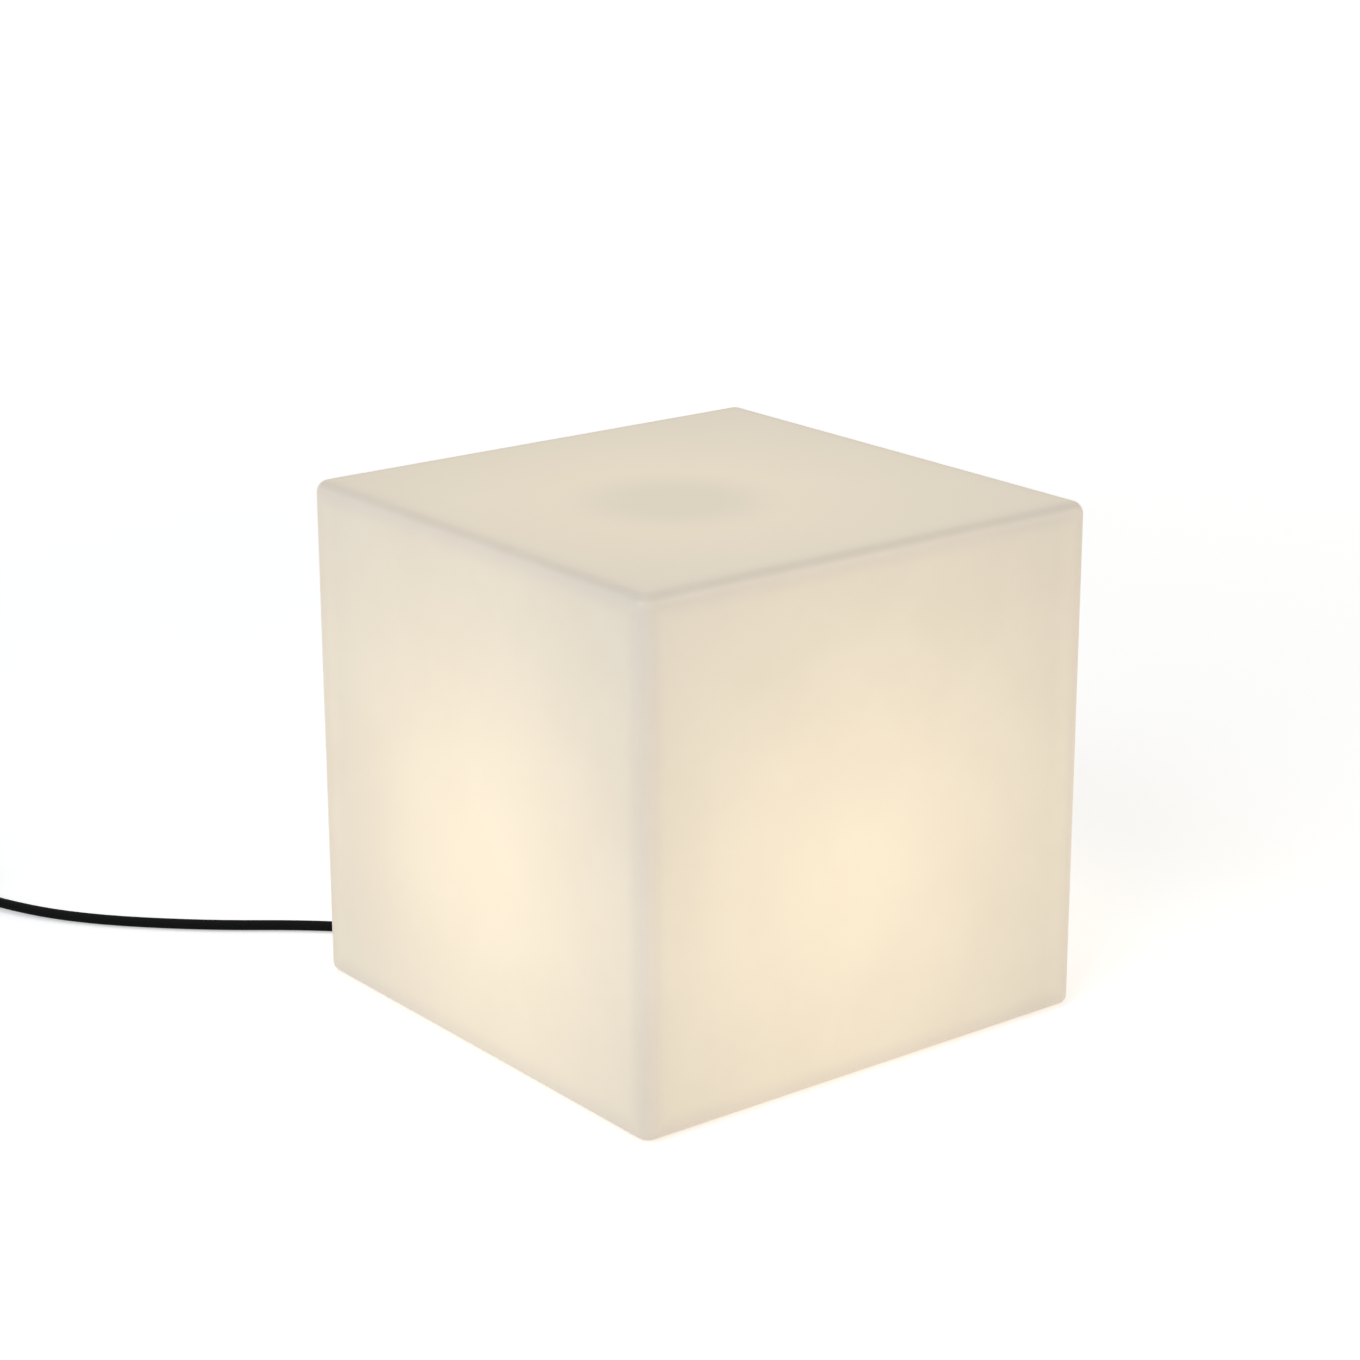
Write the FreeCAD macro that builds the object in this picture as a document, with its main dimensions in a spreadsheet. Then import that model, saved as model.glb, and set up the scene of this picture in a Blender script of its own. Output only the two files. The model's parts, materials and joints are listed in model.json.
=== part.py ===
import FreeCAD, Part
import math
import os
import Sketcher

# An outdoor cube light: a hollow moulded box that glows all over, a bulb standing inside it on
# a plug-in base, and a cord that leaves through a channel under one side. Millimetres, +Z up, with
# the origin on the floor under the middle of the cube and -Y at the side that faces the viewer.

Vector = FreeCAD.Vector
UP = Vector(0, 0, 1)
doc = FreeCAD.newDocument("led_cube_light")
sheet = doc.addObject("Spreadsheet::Sheet", "Sizes")
subparts = {}


# ---- sizes: a number together with the formula that binds it to the sheet

class Size:
    def __init__(self, value, formula):
        self.value = value
        self.formula = formula

    def __add__(self, other):
        other = sized(other)
        return Size(self.value + other.value, f"({self.formula} + {other.formula})")

    def __sub__(self, other):
        other = sized(other)
        return Size(self.value - other.value, f"({self.formula} - {other.formula})")

    def __mul__(self, other):
        other = sized(other)
        return Size(self.value * other.value, f"({self.formula} * {other.formula})")

    def __truediv__(self, other):
        other = sized(other)
        return Size(self.value / other.value, f"({self.formula} / {other.formula})")

    def __neg__(self):
        return Size(-self.value, f"(0 - {self.formula})")


def sized(number):
    return number if isinstance(number, Size) else Size(float(number), f"({float(number)})")


def size(name, number):
    row = len(sheet.getUsedCells()) // 2 + 1
    sheet.set(f"A{row}", name)
    sheet.set(f"B{row}", str(number))
    sheet.setAlias(f"B{row}", name)
    return Size(float(number), f"Sizes.{name}")


# the cube
cube_width = size("cube_width", 300)
cube_height = size("cube_height", 289)
wall = size("wall", 4)
upright_edge_radius = size("upright_edge_radius", 8)
top_edge_radius = size("top_edge_radius", 7)
bottom_edge_radius = size("bottom_edge_radius", 5)
inner_corner_radius = size("inner_corner_radius", 4)
cube_foot_height = size("cube_foot_height", 1)
cube_foot_radius = size("cube_foot_radius", 7)
cube_foot_inset = size("cube_foot_inset", 22)
foot_stud_radius = size("foot_stud_radius", 2.5)
foot_stud_length = size("foot_stud_length", 2)
recess_radius = size("recess_radius", 75)
lamp_hole_radius = size("lamp_hole_radius", 50)
boss_radius = size("boss_radius", 6)
insert_radius = size("insert_radius", 3)
insert_length = size("insert_length", 8)
channel_width = size("channel_width", 16)
channel_gap = size("channel_gap", 3)
cord_exit_x = size("cord_exit_x", -75)

# the base that stays on the floor
base_foot_height = size("base_foot_height", 3)
base_foot_radius = size("base_foot_radius", 7)
base_foot_offset = size("base_foot_offset", 34)
plate_thickness = size("plate_thickness", 3)
cup_radius = size("cup_radius", 46)
recess_gap = size("recess_gap", 5)
gasket_thickness = size("gasket_thickness", 2)
screw_radius = size("screw_radius", 2)
screw_head_radius = size("screw_head_radius", 3.8)
screw_head_height = size("screw_head_height", 2.5)
screw_length = size("screw_length", 12)
fit_gap = size("fit_gap", 0.05)
screw_gap = size("screw_gap", 0.2)

# the gland and the cord
cord_radius = size("cord_radius", 3)
gland_thread_radius = size("gland_thread_radius", 5.9)
gland_across_flats = size("gland_across_flats", 15)
gland_pad_width = size("gland_pad_width", 20)
gland_pad_depth = size("gland_pad_depth", 2)
gland_hex_length = size("gland_hex_length", 5)
gland_sleeve_length = size("gland_sleeve_length", 7)
gland_nut_length = size("gland_nut_length", 14)
gland_locknut_length = size("gland_locknut_length", 4)
gland_bore_gap = size("gland_bore_gap", 0.35)
gland_clearance = size("gland_clearance", 0.3)
jacket_trim = size("jacket_trim", 9)
wire_radius = size("wire_radius", 1.1)
wire_offset = size("wire_offset", 1.3)

# the lampholder on its strap
strap_width = size("strap_width", 18)
strap_thickness = size("strap_thickness", 2)
strap_half_span = size("strap_half_span", 26)
strap_foot_length = size("strap_foot_length", 12)
strap_rise = size("strap_rise", 34)
strap_screw_radius = size("strap_screw_radius", 1.5)
strap_screw_head = size("strap_screw_head", 2.8)
nipple_radius = size("nipple_radius", 5)
nipple_bore = size("nipple_bore", 3.5)
nipple_length = size("nipple_length", 12)
nipple_nut_flats = size("nipple_nut_flats", 14)
nipple_nut_height = size("nipple_nut_height", 3)
holder_radius = size("holder_radius", 20.5)
holder_wall = size("holder_wall", 2.5)
holder_cap_height = size("holder_cap_height", 17)
holder_barrel_height = size("holder_barrel_height", 30)
contact_block_height = size("contact_block_height", 4)
sleeve_wall = size("sleeve_wall", 0.5)
sleeve_length = size("sleeve_length", 26)
thread_gap = size("thread_gap", 0.4)
terminal_offset = size("terminal_offset", 8)
terminal_head_radius = size("terminal_head_radius", 2.3)
terminal_head_height = size("terminal_head_height", 3)

# the bulb
bulb_length = size("bulb_length", 105)
globe_radius = size("globe_radius", 30)
glass_wall = size("glass_wall", 0.8)
neck_radius = size("neck_radius", 12.5)
neck_length = size("neck_length", 9)
cap_crest_radius = size("cap_crest_radius", 13.1)
thread_depth = size("thread_depth", 0.8)
thread_pitch = size("thread_pitch", 3.6)
cap_wall = size("cap_wall", 0.4)
cap_height = size("cap_height", 27)
seal_depth = size("seal_depth", 3)
contact_gap = size("contact_gap", 0.1)
filament_radius = size("filament_radius", 1.2)
filament_length = size("filament_length", 36)
filament_offset = size("filament_offset", 9)
stem_tube_radius = size("stem_tube_radius", 3)
stem_rod_radius = size("stem_rod_radius", 1.4)
lead_radius = size("lead_radius", 0.4)
board_width = size("board_width", 16)
board_thickness = size("board_thickness", 1.2)

# the coil, its tie and the plug
coil_radius = size("coil_radius", 34)
coil_spacing = size("coil_spacing", 6.6)
tie_width = size("tie_width", 12)
tie_thickness = size("tie_thickness", 1)
tie_gap = size("tie_gap", 0.3)
relief_length = size("relief_length", 30)
relief_thin_radius = size("relief_thin_radius", 4)
relief_thick_radius = size("relief_thick_radius", 6.5)
plug_length = size("plug_length", 40)
plug_width = size("plug_width", 35)
plug_height = size("plug_height", 16)
plug_corner_radius = size("plug_corner_radius", 5)
pin_radius = size("pin_radius", 2.4)
pin_length = size("pin_length", 19)
pin_spacing = size("pin_spacing", 18.6)
pin_root = size("pin_root", 8)
pin_root_radius = size("pin_root_radius", 2)

# counts
screw_count = 4
thread_rings = 5
filament_count = 4
coil_layers = 4
coil_turns = 2.5

# heights and places that follow from the sizes
shell_bottom = cube_foot_height
shell_top = shell_bottom + cube_height
cavity_half = cube_width / 2 - wall
floor_low = base_foot_height
floor_top = floor_low + plate_thickness
cup_inner = cup_radius - plate_thickness
gland_corner = gland_across_flats / math.sqrt(3)
gland_axis_height = floor_top + gland_corner + gland_clearance
flange_low = gland_axis_height + gland_corner + gland_clearance
channel_roof = gland_axis_height + cord_radius + channel_gap
flange_top = flange_low + plate_thickness
flange_radius = recess_radius - recess_gap
screw_circle = (lamp_hole_radius + flange_radius) / 2
jacket_end = cup_inner - gland_pad_depth - jacket_trim
recess_top = flange_top + gasket_thickness
screw_top = flange_low + screw_length
strap_top = floor_top + strap_rise
cap_joint = strap_top + holder_cap_height
rim_top = cap_joint + holder_barrel_height
bulb_bottom = cap_joint + 1
bulb_top = bulb_bottom + bulb_length
globe_height = bulb_top - globe_radius
skirt_top = bulb_bottom + cap_height
coil_bottom = cord_radius + tie_thickness + 0.2
plug_axis = plug_height / 2

# the cord leaves from the middle towards this point of the rear edge
cable_turn = math.degrees(math.atan2(cube_width.value / 2, cord_exit_x.value))
cable_way = Vector(math.cos(math.radians(cable_turn)), math.sin(math.radians(cable_turn)), 0)
across_way = UP.cross(cable_way)
quarter_angles = [cable_turn + 45 + 360 / screw_count * k for k in range(screw_count)]


# ---- shapes

def bind(thing, **sizes):
    for name, amount in sizes.items():
        thing.setExpression(name, sized(amount).formula)
    return thing


def move(thing, x=0, y=0, z=0):
    for axis, amount in (("x", x), ("y", y), ("z", z)):
        thing.setExpression(f"Placement.Base.{axis}", sized(amount).formula)
    return thing


def turn(thing, angle):
    thing.Placement = FreeCAD.Placement(Vector(0, 0, 0), FreeCAD.Rotation(UP, angle))
    return thing


def box(name, low, high):
    block = bind(
        doc.addObject("Part::Box", name),
        Length=sized(high[0]) - low[0], Width=sized(high[1]) - low[1], Height=sized(high[2]) - low[2],
    )
    return move(block, *low)


def slanted_box(name, low, high):
    # a block whose length runs along the cable's way, measured from the middle
    block = bind(
        doc.addObject("Part::Box", name),
        Length=sized(high[0]) - low[0], Width=sized(high[1]) - low[1], Height=sized(high[2]) - low[2],
    )
    x, y, z = [sized(amount).value for amount in low]
    start = cable_way * x + across_way * y + UP * z
    block.Placement = FreeCAD.Placement(start, FreeCAD.Rotation(UP, cable_turn))
    return block


def disc(name, radius, low, high, x=0, y=0):
    cylinder = bind(doc.addObject("Part::Cylinder", name), Radius=radius, Height=sized(high) - low)
    return move(cylinder, x, y, low)


def hexagon(name, across_flats, low, high):
    prism = doc.addObject("Part::Prism", name)
    prism.Polygon = 6
    bind(prism, Circumradius=sized(across_flats) / math.sqrt(3), Height=sized(high) - low)
    return move(prism, 0, 0, low)


def fuse(name, things):
    whole = doc.addObject("Part::MultiFuse", name)
    whole.Shapes = things
    return whole


def cut(name, base, tool):
    rest = doc.addObject("Part::Cut", name)
    rest.Base = base
    rest.Tool = tool
    return rest


def group(name, things):
    several = doc.addObject("Part::Compound", name)
    several.Links = things
    return several


def polar(radius, angle):
    return radius * math.cos(math.radians(angle)), radius * math.sin(math.radians(angle))


def outline(body, points, plane="XZ_Plane"):
    # a closed outline whose corners are held by the sheet; a plain 0 puts a corner on an axis
    sketch = body.newObject("Sketcher::SketchObject", body.Label + "_outline")
    face = [f for f in body.Origin.OriginFeatures if f.Role == plane][0]
    sketch.AttachmentSupport = [(face, "")]
    sketch.MapMode = "FlatFace"
    corners = [Vector(sized(x).value, sized(y).value, 0) for x, y in points]
    for k, corner in enumerate(corners):
        sketch.addGeometry(Part.LineSegment(corner, corners[(k + 1) % len(corners)]))
    for k, (x, y) in enumerate(points):
        sketch.addConstraint(Sketcher.Constraint("Coincident", k - 1 if k else len(points) - 1, 2, k, 1))
        hold(sketch, "DistanceX", k, 1, x, -2)
        hold(sketch, "DistanceY", k, 1, y, -1)
    return sketch


def hold(sketch, kind, line, end, amount, axis):
    if not isinstance(amount, Size) and amount == 0:
        sketch.addConstraint(Sketcher.Constraint("PointOnObject", line, end, axis))
        return
    held = sketch.addConstraint(Sketcher.Constraint(kind, -1, 1, line, end, sized(amount).value))
    sketch.setExpression(f"Constraints[{held}]", sized(amount).formula)


def new_body(name):
    body = doc.addObject("PartDesign::Body", name)
    body.Label = name
    return body


def revolve(body, sketch, kind="Revolution"):
    feature = body.newObject("PartDesign::" + kind, body.Label + "_" + kind.lower())
    feature.Profile = sketch
    feature.ReferenceAxis = (sketch, ["V_Axis"])
    feature.Angle = 360
    return feature


def turned(name, points):
    body = new_body(name)
    revolve(body, outline(body, points))
    return body


def ring(name, inner, outer, low, high):
    return turned(name, [(inner, low), (outer, low), (outer, high), (inner, high)])


def keep(name, thing):
    thing.Label = name
    subparts[name] = thing
    return thing


def lay_along_cable(thing):
    # from standing on its end at the middle to lying along the cable's way at the gland's height
    flat = FreeCAD.Rotation(Vector(0, 1, 0), 90)
    place = Vector(0, 0, gland_axis_height.value)
    thing.Placement = FreeCAD.Placement(place, FreeCAD.Rotation(UP, cable_turn) * flat)
    return thing


def rounded(name, base, radii):
    # radii: for each edge of the block, by where the edge lies and runs
    doc.recompute()
    fillet = doc.addObject("Part::Fillet", name)
    fillet.Base = base
    chosen = []
    for number, edge in enumerate(base.Shape.Edges, 1):
        radius = radii(edge)
        if radius:
            chosen.append((number, radius.value, radius.value))
    fillet.Edges = chosen
    return fillet


def stands(edge):
    box_of = edge.BoundBox
    return box_of.ZLength > box_of.XLength + box_of.YLength


# ---- the cube and what is moulded into it

def make_shell():
    half = cube_width / 2
    block = box("block", (-half, -half, shell_bottom), (half, half, shell_top))
    block = rounded("block_sides", block, lambda e: upright_edge_radius if stands(e) else None)
    middle = (shell_bottom + shell_top).value / 2

    def rim_radius(edge):
        if edge.BoundBox.ZLength > 0.01:
            return None
        return top_edge_radius if edge.BoundBox.ZMax > middle else bottom_edge_radius

    block = rounded("block_rims", block, rim_radius)
    cavity = box(
        "cavity_block", (-cavity_half, -cavity_half, shell_bottom + wall),
        (cavity_half, cavity_half, shell_top - wall),
    )
    cavity = rounded("cavity", cavity, lambda e: inner_corner_radius)

    channel_half = channel_width / 2
    far = cube_width
    housing = [
        disc("recess_housing", recess_radius + wall, shell_bottom, recess_top + wall),
        slanted_box(
            "channel_housing", (0, -channel_half - wall, shell_bottom),
            (far, channel_half + wall, channel_roof + wall),
        ),
    ]
    cuts = [
        disc("recess", recess_radius, 0, recess_top),
        disc("lamp_hole", lamp_hole_radius, 0, recess_top + wall + 1),
        slanted_box("channel", (0, -channel_half, 0), (far, channel_half, channel_roof)),
    ]
    boss_top = recess_top + insert_length + wall
    for k, angle in enumerate(quarter_angles):
        x, y = polar(screw_circle, angle)
        housing.append(disc(f"boss_{k}", boss_radius, recess_top, boss_top, x, y))
        insert_hole = insert_radius + fit_gap
        cuts.append(disc(f"insert_hole_{k}", insert_hole, 0, boss_top - wall / 2, x, y))
    for k, (x, y) in enumerate(foot_places()):
        stud_hole = foot_stud_radius + fit_gap
        cuts.append(disc(f"stud_hole_{k}", stud_hole, 0, shell_bottom + foot_stud_length + fit_gap, x, y))
    hollow = cut("hollow", cavity, fuse("housings", housing))
    return keep("shell", cut("shell", cut("blown_box", block, hollow), fuse("shell_cuts", cuts)))


def foot_places():
    out = cube_width / 2 - cube_foot_inset
    return [(-out, -out), (out, -out), (out, out), (-out, out)]


def make_shell_feet():
    feet = []
    for k, (x, y) in enumerate(foot_places()):
        pad = disc(f"foot_pad_{k}", cube_foot_radius, 0, shell_bottom, x, y)
        stud = disc(f"foot_stud_{k}", foot_stud_radius, 0, shell_bottom + foot_stud_length, x, y)
        feet.append(fuse(f"foot_{k}", [pad, stud]))
    keep("shell_feet", group("shell_feet", feet))


def make_inserts():
    inserts = []
    for k, angle in enumerate(quarter_angles):
        x, y = polar(screw_circle, angle)
        barrel = disc(f"insert_barrel_{k}", insert_radius, recess_top, recess_top + insert_length, x, y)
        bore = disc(f"insert_bore_{k}", screw_radius + fit_gap, 0, boss_ceiling(), x, y)
        inserts.append(cut(f"insert_{k}", barrel, bore))
    keep("threaded_inserts", group("threaded_inserts", inserts))


def boss_ceiling():
    return recess_top + insert_length + wall


# ---- the base under the cube

def make_base_plate():
    hat = turned("plate_hat", [
        (0, floor_low), (cup_radius, floor_low), (cup_radius, flange_low), (flange_radius, flange_low),
        (flange_radius, flange_top), (cup_inner, flange_top), (cup_inner, floor_top), (0, floor_top),
    ])
    pad_half = gland_pad_width / 2
    pad_end = cup_radius + gland_pad_depth / 2
    pad = slanted_box(
        "gland_pad", (cup_inner - gland_pad_depth, -pad_half, floor_low), (pad_end, pad_half, flange_low),
    )
    holes = [lay_along_cable(disc("gland_hole", gland_thread_radius + fit_gap, 0, cup_radius + 10))]
    holes[0].setExpression("Placement.Base.z", None)
    for k, angle in enumerate(quarter_angles):
        x, y = polar(screw_circle, angle)
        holes.append(disc(f"plate_hole_{k}", screw_radius + screw_gap, 0, flange_top + 1, x, y))
    for k, (x, y) in enumerate(strap_screw_places()):
        holes.append(disc(f"strap_hole_{k}", strap_screw_radius + fit_gap, 0, floor_top + 1, x, y))
    keep("base_plate", cut("base_plate", fuse("plate_and_pad", [hat, pad]), fuse("plate_holes", holes)))


def make_gasket():
    seal = ring("gasket_ring", lamp_hole_radius, flange_radius, flange_top, recess_top)
    holes = []
    for k, angle in enumerate(quarter_angles):
        x, y = polar(screw_circle, angle)
        holes.append(disc(f"gasket_hole_{k}", screw_radius + screw_gap, 0, recess_top + 1, x, y))
    keep("base_gasket", cut("base_gasket", seal, fuse("gasket_holes", holes)))


def make_plate_screws():
    screws = []
    for k, angle in enumerate(quarter_angles):
        x, y = polar(screw_circle, angle)
        head = disc(f"screw_head_{k}", screw_head_radius, flange_low - screw_head_height, flange_low, x, y)
        shank = disc(f"screw_shank_{k}", screw_radius, flange_low - 1, screw_top, x, y)
        slot = disc(f"screw_drive_{k}", screw_radius * 0.7, 0, flange_low - screw_head_height / 2, x, y)
        screws.append(cut(f"screw_{k}", fuse(f"screw_blank_{k}", [head, shank]), slot))
    keep("plate_screws", group("plate_screws", screws))


def make_base_feet():
    feet = []
    for k, angle in enumerate(quarter_angles):
        x, y = polar(base_foot_offset, angle)
        feet.append(disc(f"base_foot_{k}", base_foot_radius, 0, floor_low, x, y))
    keep("base_feet", group("base_feet", feet))


# ---- the strap, nipple and lampholder

def strap_screw_places():
    out = strap_half_span + strap_foot_length / 2
    return [(out * (side * across_way.x), out * (side * across_way.y)) for side in (-1, 1)]


def make_strap():
    # a bent strip: two feet on the cup's floor, two legs and a bridge under the holder
    leg_out = strap_half_span
    leg_in = strap_half_span - strap_thickness
    toe = strap_half_span + strap_foot_length
    foot_top = floor_top + strap_thickness
    bridge = strap_top - strap_thickness
    body = new_body("strap_strip")
    sketch = outline(body, [
        (-toe, floor_top), (-leg_in, floor_top), (-leg_in, bridge), (leg_in, bridge),
        (leg_in, floor_top), (toe, floor_top), (toe, foot_top), (leg_out, foot_top),
        (leg_out, strap_top), (-leg_out, strap_top), (-leg_out, foot_top), (-toe, foot_top),
    ])
    pad = body.newObject("PartDesign::Pad", "strap_pad")
    pad.Profile = sketch
    pad.SideType = "Symmetric"
    bind(pad, Length=strap_width)
    turn(body, cable_turn - 90)
    holes = [disc("bridge_hole", nipple_radius + fit_gap, bridge - 5, strap_top + 1)]
    for k, (x, y) in enumerate(strap_screw_places()):
        holes.append(disc(f"strap_foot_hole_{k}", strap_screw_radius + fit_gap, 0, foot_top + 1, x, y))
    keep("holder_strap", cut("holder_strap", body, fuse("strap_holes", holes)))


def make_strap_screws():
    screws = []
    foot_top = floor_top + strap_thickness
    for k, (x, y) in enumerate(strap_screw_places()):
        head = disc(f"strap_head_{k}", strap_screw_head, foot_top, foot_top + strap_thickness, x, y)
        shank = disc(f"strap_shank_{k}", strap_screw_radius, floor_low, foot_top + 1, x, y)
        screws.append(fuse(f"strap_screw_{k}", [head, shank]))
    keep("strap_screws", group("strap_screws", screws))


def make_nipple():
    low = strap_top - strap_thickness - nipple_nut_height - 2
    keep("nipple", ring("nipple", nipple_bore, nipple_radius, low, low + nipple_length))
    nut_top = strap_top - strap_thickness
    blank = hexagon("nut_blank", nipple_nut_flats, nut_top - nipple_nut_height, nut_top)
    bore = disc("nut_bore", nipple_radius + fit_gap, 0, nut_top + 1)
    keep("nipple_nut", cut("nipple_nut", blank, bore))


def make_lampholder():
    bore = nipple_radius + fit_gap
    boss = bore + 3
    foot = holder_radius * 0.55
    inner = holder_radius - holder_wall
    shoulder = strap_top + holder_cap_height * 0.55
    keep("lampholder_cap", turned("lampholder_cap", [
        (bore, strap_top), (foot, strap_top), (holder_radius, shoulder), (holder_radius, cap_joint),
        (inner, cap_joint), (inner, shoulder + 1), (foot - 1, strap_top + holder_wall),
        (boss, strap_top + holder_wall), (boss, strap_top + 6), (bore, strap_top + 6),
    ]))
    sleeve_outer = cap_crest_radius + thread_gap + sleeve_wall
    bore_radius = sleeve_outer + thread_gap
    lip = cap_joint + sleeve_length + 1
    rim_bore = sleeve_outer - sleeve_wall + 0.2
    points = [(bore_radius, cap_joint), (holder_radius, cap_joint), (holder_radius, rim_top - 2)]
    points += [(holder_radius - 2, rim_top), (rim_bore, rim_top), (rim_bore, lip), (bore_radius, lip)]
    keep("lampholder_barrel", turned("lampholder_barrel", points))

    block = ring("block_disc", wire_radius, inner - 0.2, cap_joint - contact_block_height, cap_joint)
    holes = []
    screws = []
    for k, side in enumerate((-1, 1)):
        x = terminal_offset * (side * across_way.x)
        y = terminal_offset * (side * across_way.y)
        low = cap_joint - contact_block_height
        holes.append(disc(f"terminal_hole_{k}", wire_radius + fit_gap, low - 1, cap_joint + 1, x, y))
        head = disc(f"terminal_head_{k}", terminal_head_radius, low - terminal_head_height, low, x, y)
        shank = disc(f"terminal_shank_{k}", wire_radius, low - 1, cap_joint, x, y)
        screws.append(fuse(f"terminal_{k}", [head, shank]))
    keep("contact_block", cut("contact_block", block, fuse("terminal_holes", holes)))
    keep("terminal_screws", group("terminal_screws", screws))
    keep("centre_contact", turned("centre_contact", [
        (0, cap_joint - contact_block_height / 2),
        (wire_radius - fit_gap, cap_joint - contact_block_height / 2),
        (wire_radius - fit_gap, cap_joint), (4, cap_joint), (3, bulb_bottom - contact_gap),
        (0, bulb_bottom - contact_gap),
    ]))


def thread_wave(offset):
    # the corners up the side of the threaded cap, as rings one pitch apart
    crest = cap_crest_radius + offset
    root = crest - thread_depth
    low = bulb_bottom + 5
    points = []
    for k in range(thread_rings):
        start = low + thread_pitch * k
        points += [
            (root, start), (crest, start + thread_pitch * 0.35), (crest, start + thread_pitch * 0.5),
            (root, start + thread_pitch * 0.85),
        ]
    return points


def make_screw_sleeve():
    top = cap_joint + sleeve_length
    inner = thread_wave(thread_gap)
    outer = [(r + sleeve_wall, z) for r, z in thread_wave(thread_gap)]
    smooth = cap_crest_radius + thread_gap
    low = cap_joint
    flange = low + sleeve_wall
    points = [(8, low), (smooth + sleeve_wall, low)] + [(smooth + sleeve_wall, flange + 2)] + outer
    points += [(smooth + sleeve_wall, outer[-1][1] + 1), (smooth + sleeve_wall, top), (smooth, top)]
    points += [(smooth, outer[-1][1] + 1)] + inner[::-1] + [(smooth, flange + 2), (smooth, flange)]
    points += [(8, flange)]
    keep("screw_sleeve", turned("screw_sleeve", points))


# ---- the bulb

def bulb_outline(body, name, neck, globe, low):
    # a straight neck, a flank that runs into the globe without a corner, and the globe up to the axis
    sketch = body.newObject("Sketcher::SketchObject", name)
    face = [f for f in body.Origin.OriginFeatures if f.Role == "XZ_Plane"][0]
    sketch.AttachmentSupport = [(face, "")]
    sketch.MapMode = "FlatFace"
    middle = globe_height.value
    flank_low = skirt_top + neck_length / 2
    reach = math.hypot(neck.value, middle - flank_low.value)
    lean = math.atan2(middle - flank_low.value, -neck.value) - math.asin(globe.value / reach)
    run = math.sqrt(reach ** 2 - globe.value ** 2)
    touch = Vector(neck.value + run * math.cos(lean), flank_low.value + run * math.sin(lean), 0)
    corners = [
        Vector(0, middle + globe.value, 0), Vector(0, sized(low).value, 0),
        Vector(neck.value, sized(low).value, 0), Vector(neck.value, flank_low.value, 0), touch,
    ]
    for a, b in zip(corners, corners[1:]):
        sketch.addGeometry(Part.LineSegment(a, b))
    start = math.atan2(touch.y - middle, touch.x)
    circle = Part.Circle(Vector(0, middle, 0), Vector(0, 0, 1), globe.value)
    sketch.addGeometry(Part.ArcOfCircle(circle, start, math.pi / 2))
    for k in range(3):
        sketch.addConstraint(Sketcher.Constraint("Coincident", k, 2, k + 1, 1))
    sketch.addConstraint(Sketcher.Constraint("Tangent", 3, 2, 4, 1))
    sketch.addConstraint(Sketcher.Constraint("Coincident", 4, 2, 0, 1))
    sketch.addConstraint(Sketcher.Constraint("PointOnObject", 0, 1, -2))
    sketch.addConstraint(Sketcher.Constraint("PointOnObject", 4, 3, -2))
    hold(sketch, "DistanceY", 4, 3, globe_height, -1)
    radius = sketch.addConstraint(Sketcher.Constraint("Radius", 4, globe.value))
    sketch.setExpression(f"Constraints[{radius}]", globe.formula)
    hold(sketch, "DistanceX", 1, 1, 0, -2)
    hold(sketch, "DistanceY", 1, 1, low, -1)
    hold(sketch, "DistanceX", 2, 1, neck, -2)
    hold(sketch, "DistanceY", 2, 1, low, -1)
    hold(sketch, "DistanceX", 3, 1, neck, -2)
    hold(sketch, "DistanceY", 3, 1, flank_low, -1)
    return sketch


def make_bulb_glass():
    low = skirt_top - seal_depth
    body = new_body("bulb_glass")
    revolve(body, bulb_outline(body, "glass_outside", neck_radius, globe_radius, low))
    doc.recompute()
    inner_globe = globe_radius - glass_wall
    revolve(body, bulb_outline(body, "glass_inside", neck_radius - glass_wall, inner_globe, low), "Groove")
    keep("bulb_glass", body)


def make_bulb_inside():
    seal_low = skirt_top - seal_depth
    seal = neck_radius - glass_wall - 0.02
    filament_low = globe_height - filament_length / 2 - 3
    filament_top = filament_low + filament_length
    rod_top = filament_top + 3
    shoulder = seal_low + 14
    keep("bulb_stem", turned("bulb_stem", [
        (0, seal_low), (seal, seal_low), (seal, seal_low + 1.5), (stem_tube_radius + 2, seal_low + 5),
        (stem_tube_radius, shoulder), (stem_tube_radius, filament_low - 1),
        (stem_rod_radius, filament_low + 2), (stem_rod_radius, rod_top), (0, rod_top),
    ]))
    sticks = []
    for k in range(filament_count):
        x, y = polar(filament_offset, 45 + 360 / filament_count * k)
        sticks.append(disc(f"filament_{k}", filament_radius, filament_low, filament_top, x, y))
    keep("led_filaments", group("led_filaments", sticks))

    spiders = []
    lower = ("lower", filament_low - lead_radius, stem_tube_radius)
    upper = ("upper", filament_top + lead_radius, stem_rod_radius)
    for name, at, hub in (lower, upper):
        pieces = [disc(name + "_hub", hub + 1, at - lead_radius, at + lead_radius)]
        for k in range(filament_count):
            arm = bind(doc.addObject("Part::Cylinder", f"{name}_arm_{k}"), Radius=lead_radius)
            bind(arm, Height=filament_offset)
            spin = FreeCAD.Rotation(UP, 45 + 360 / filament_count * k)
            arm.Placement = FreeCAD.Placement(
                Vector(0, 0, at.value), spin * FreeCAD.Rotation(Vector(0, 1, 0), 90))
            pieces.append(arm)
        bore = disc(name + "_hub_bore", hub + 0.02, at - 1, at + 1)
        spiders.append(cut(name + "_spider", fuse(name + "_arms", pieces), bore))
    keep("filament_leads", group("filament_leads", spiders))


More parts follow.
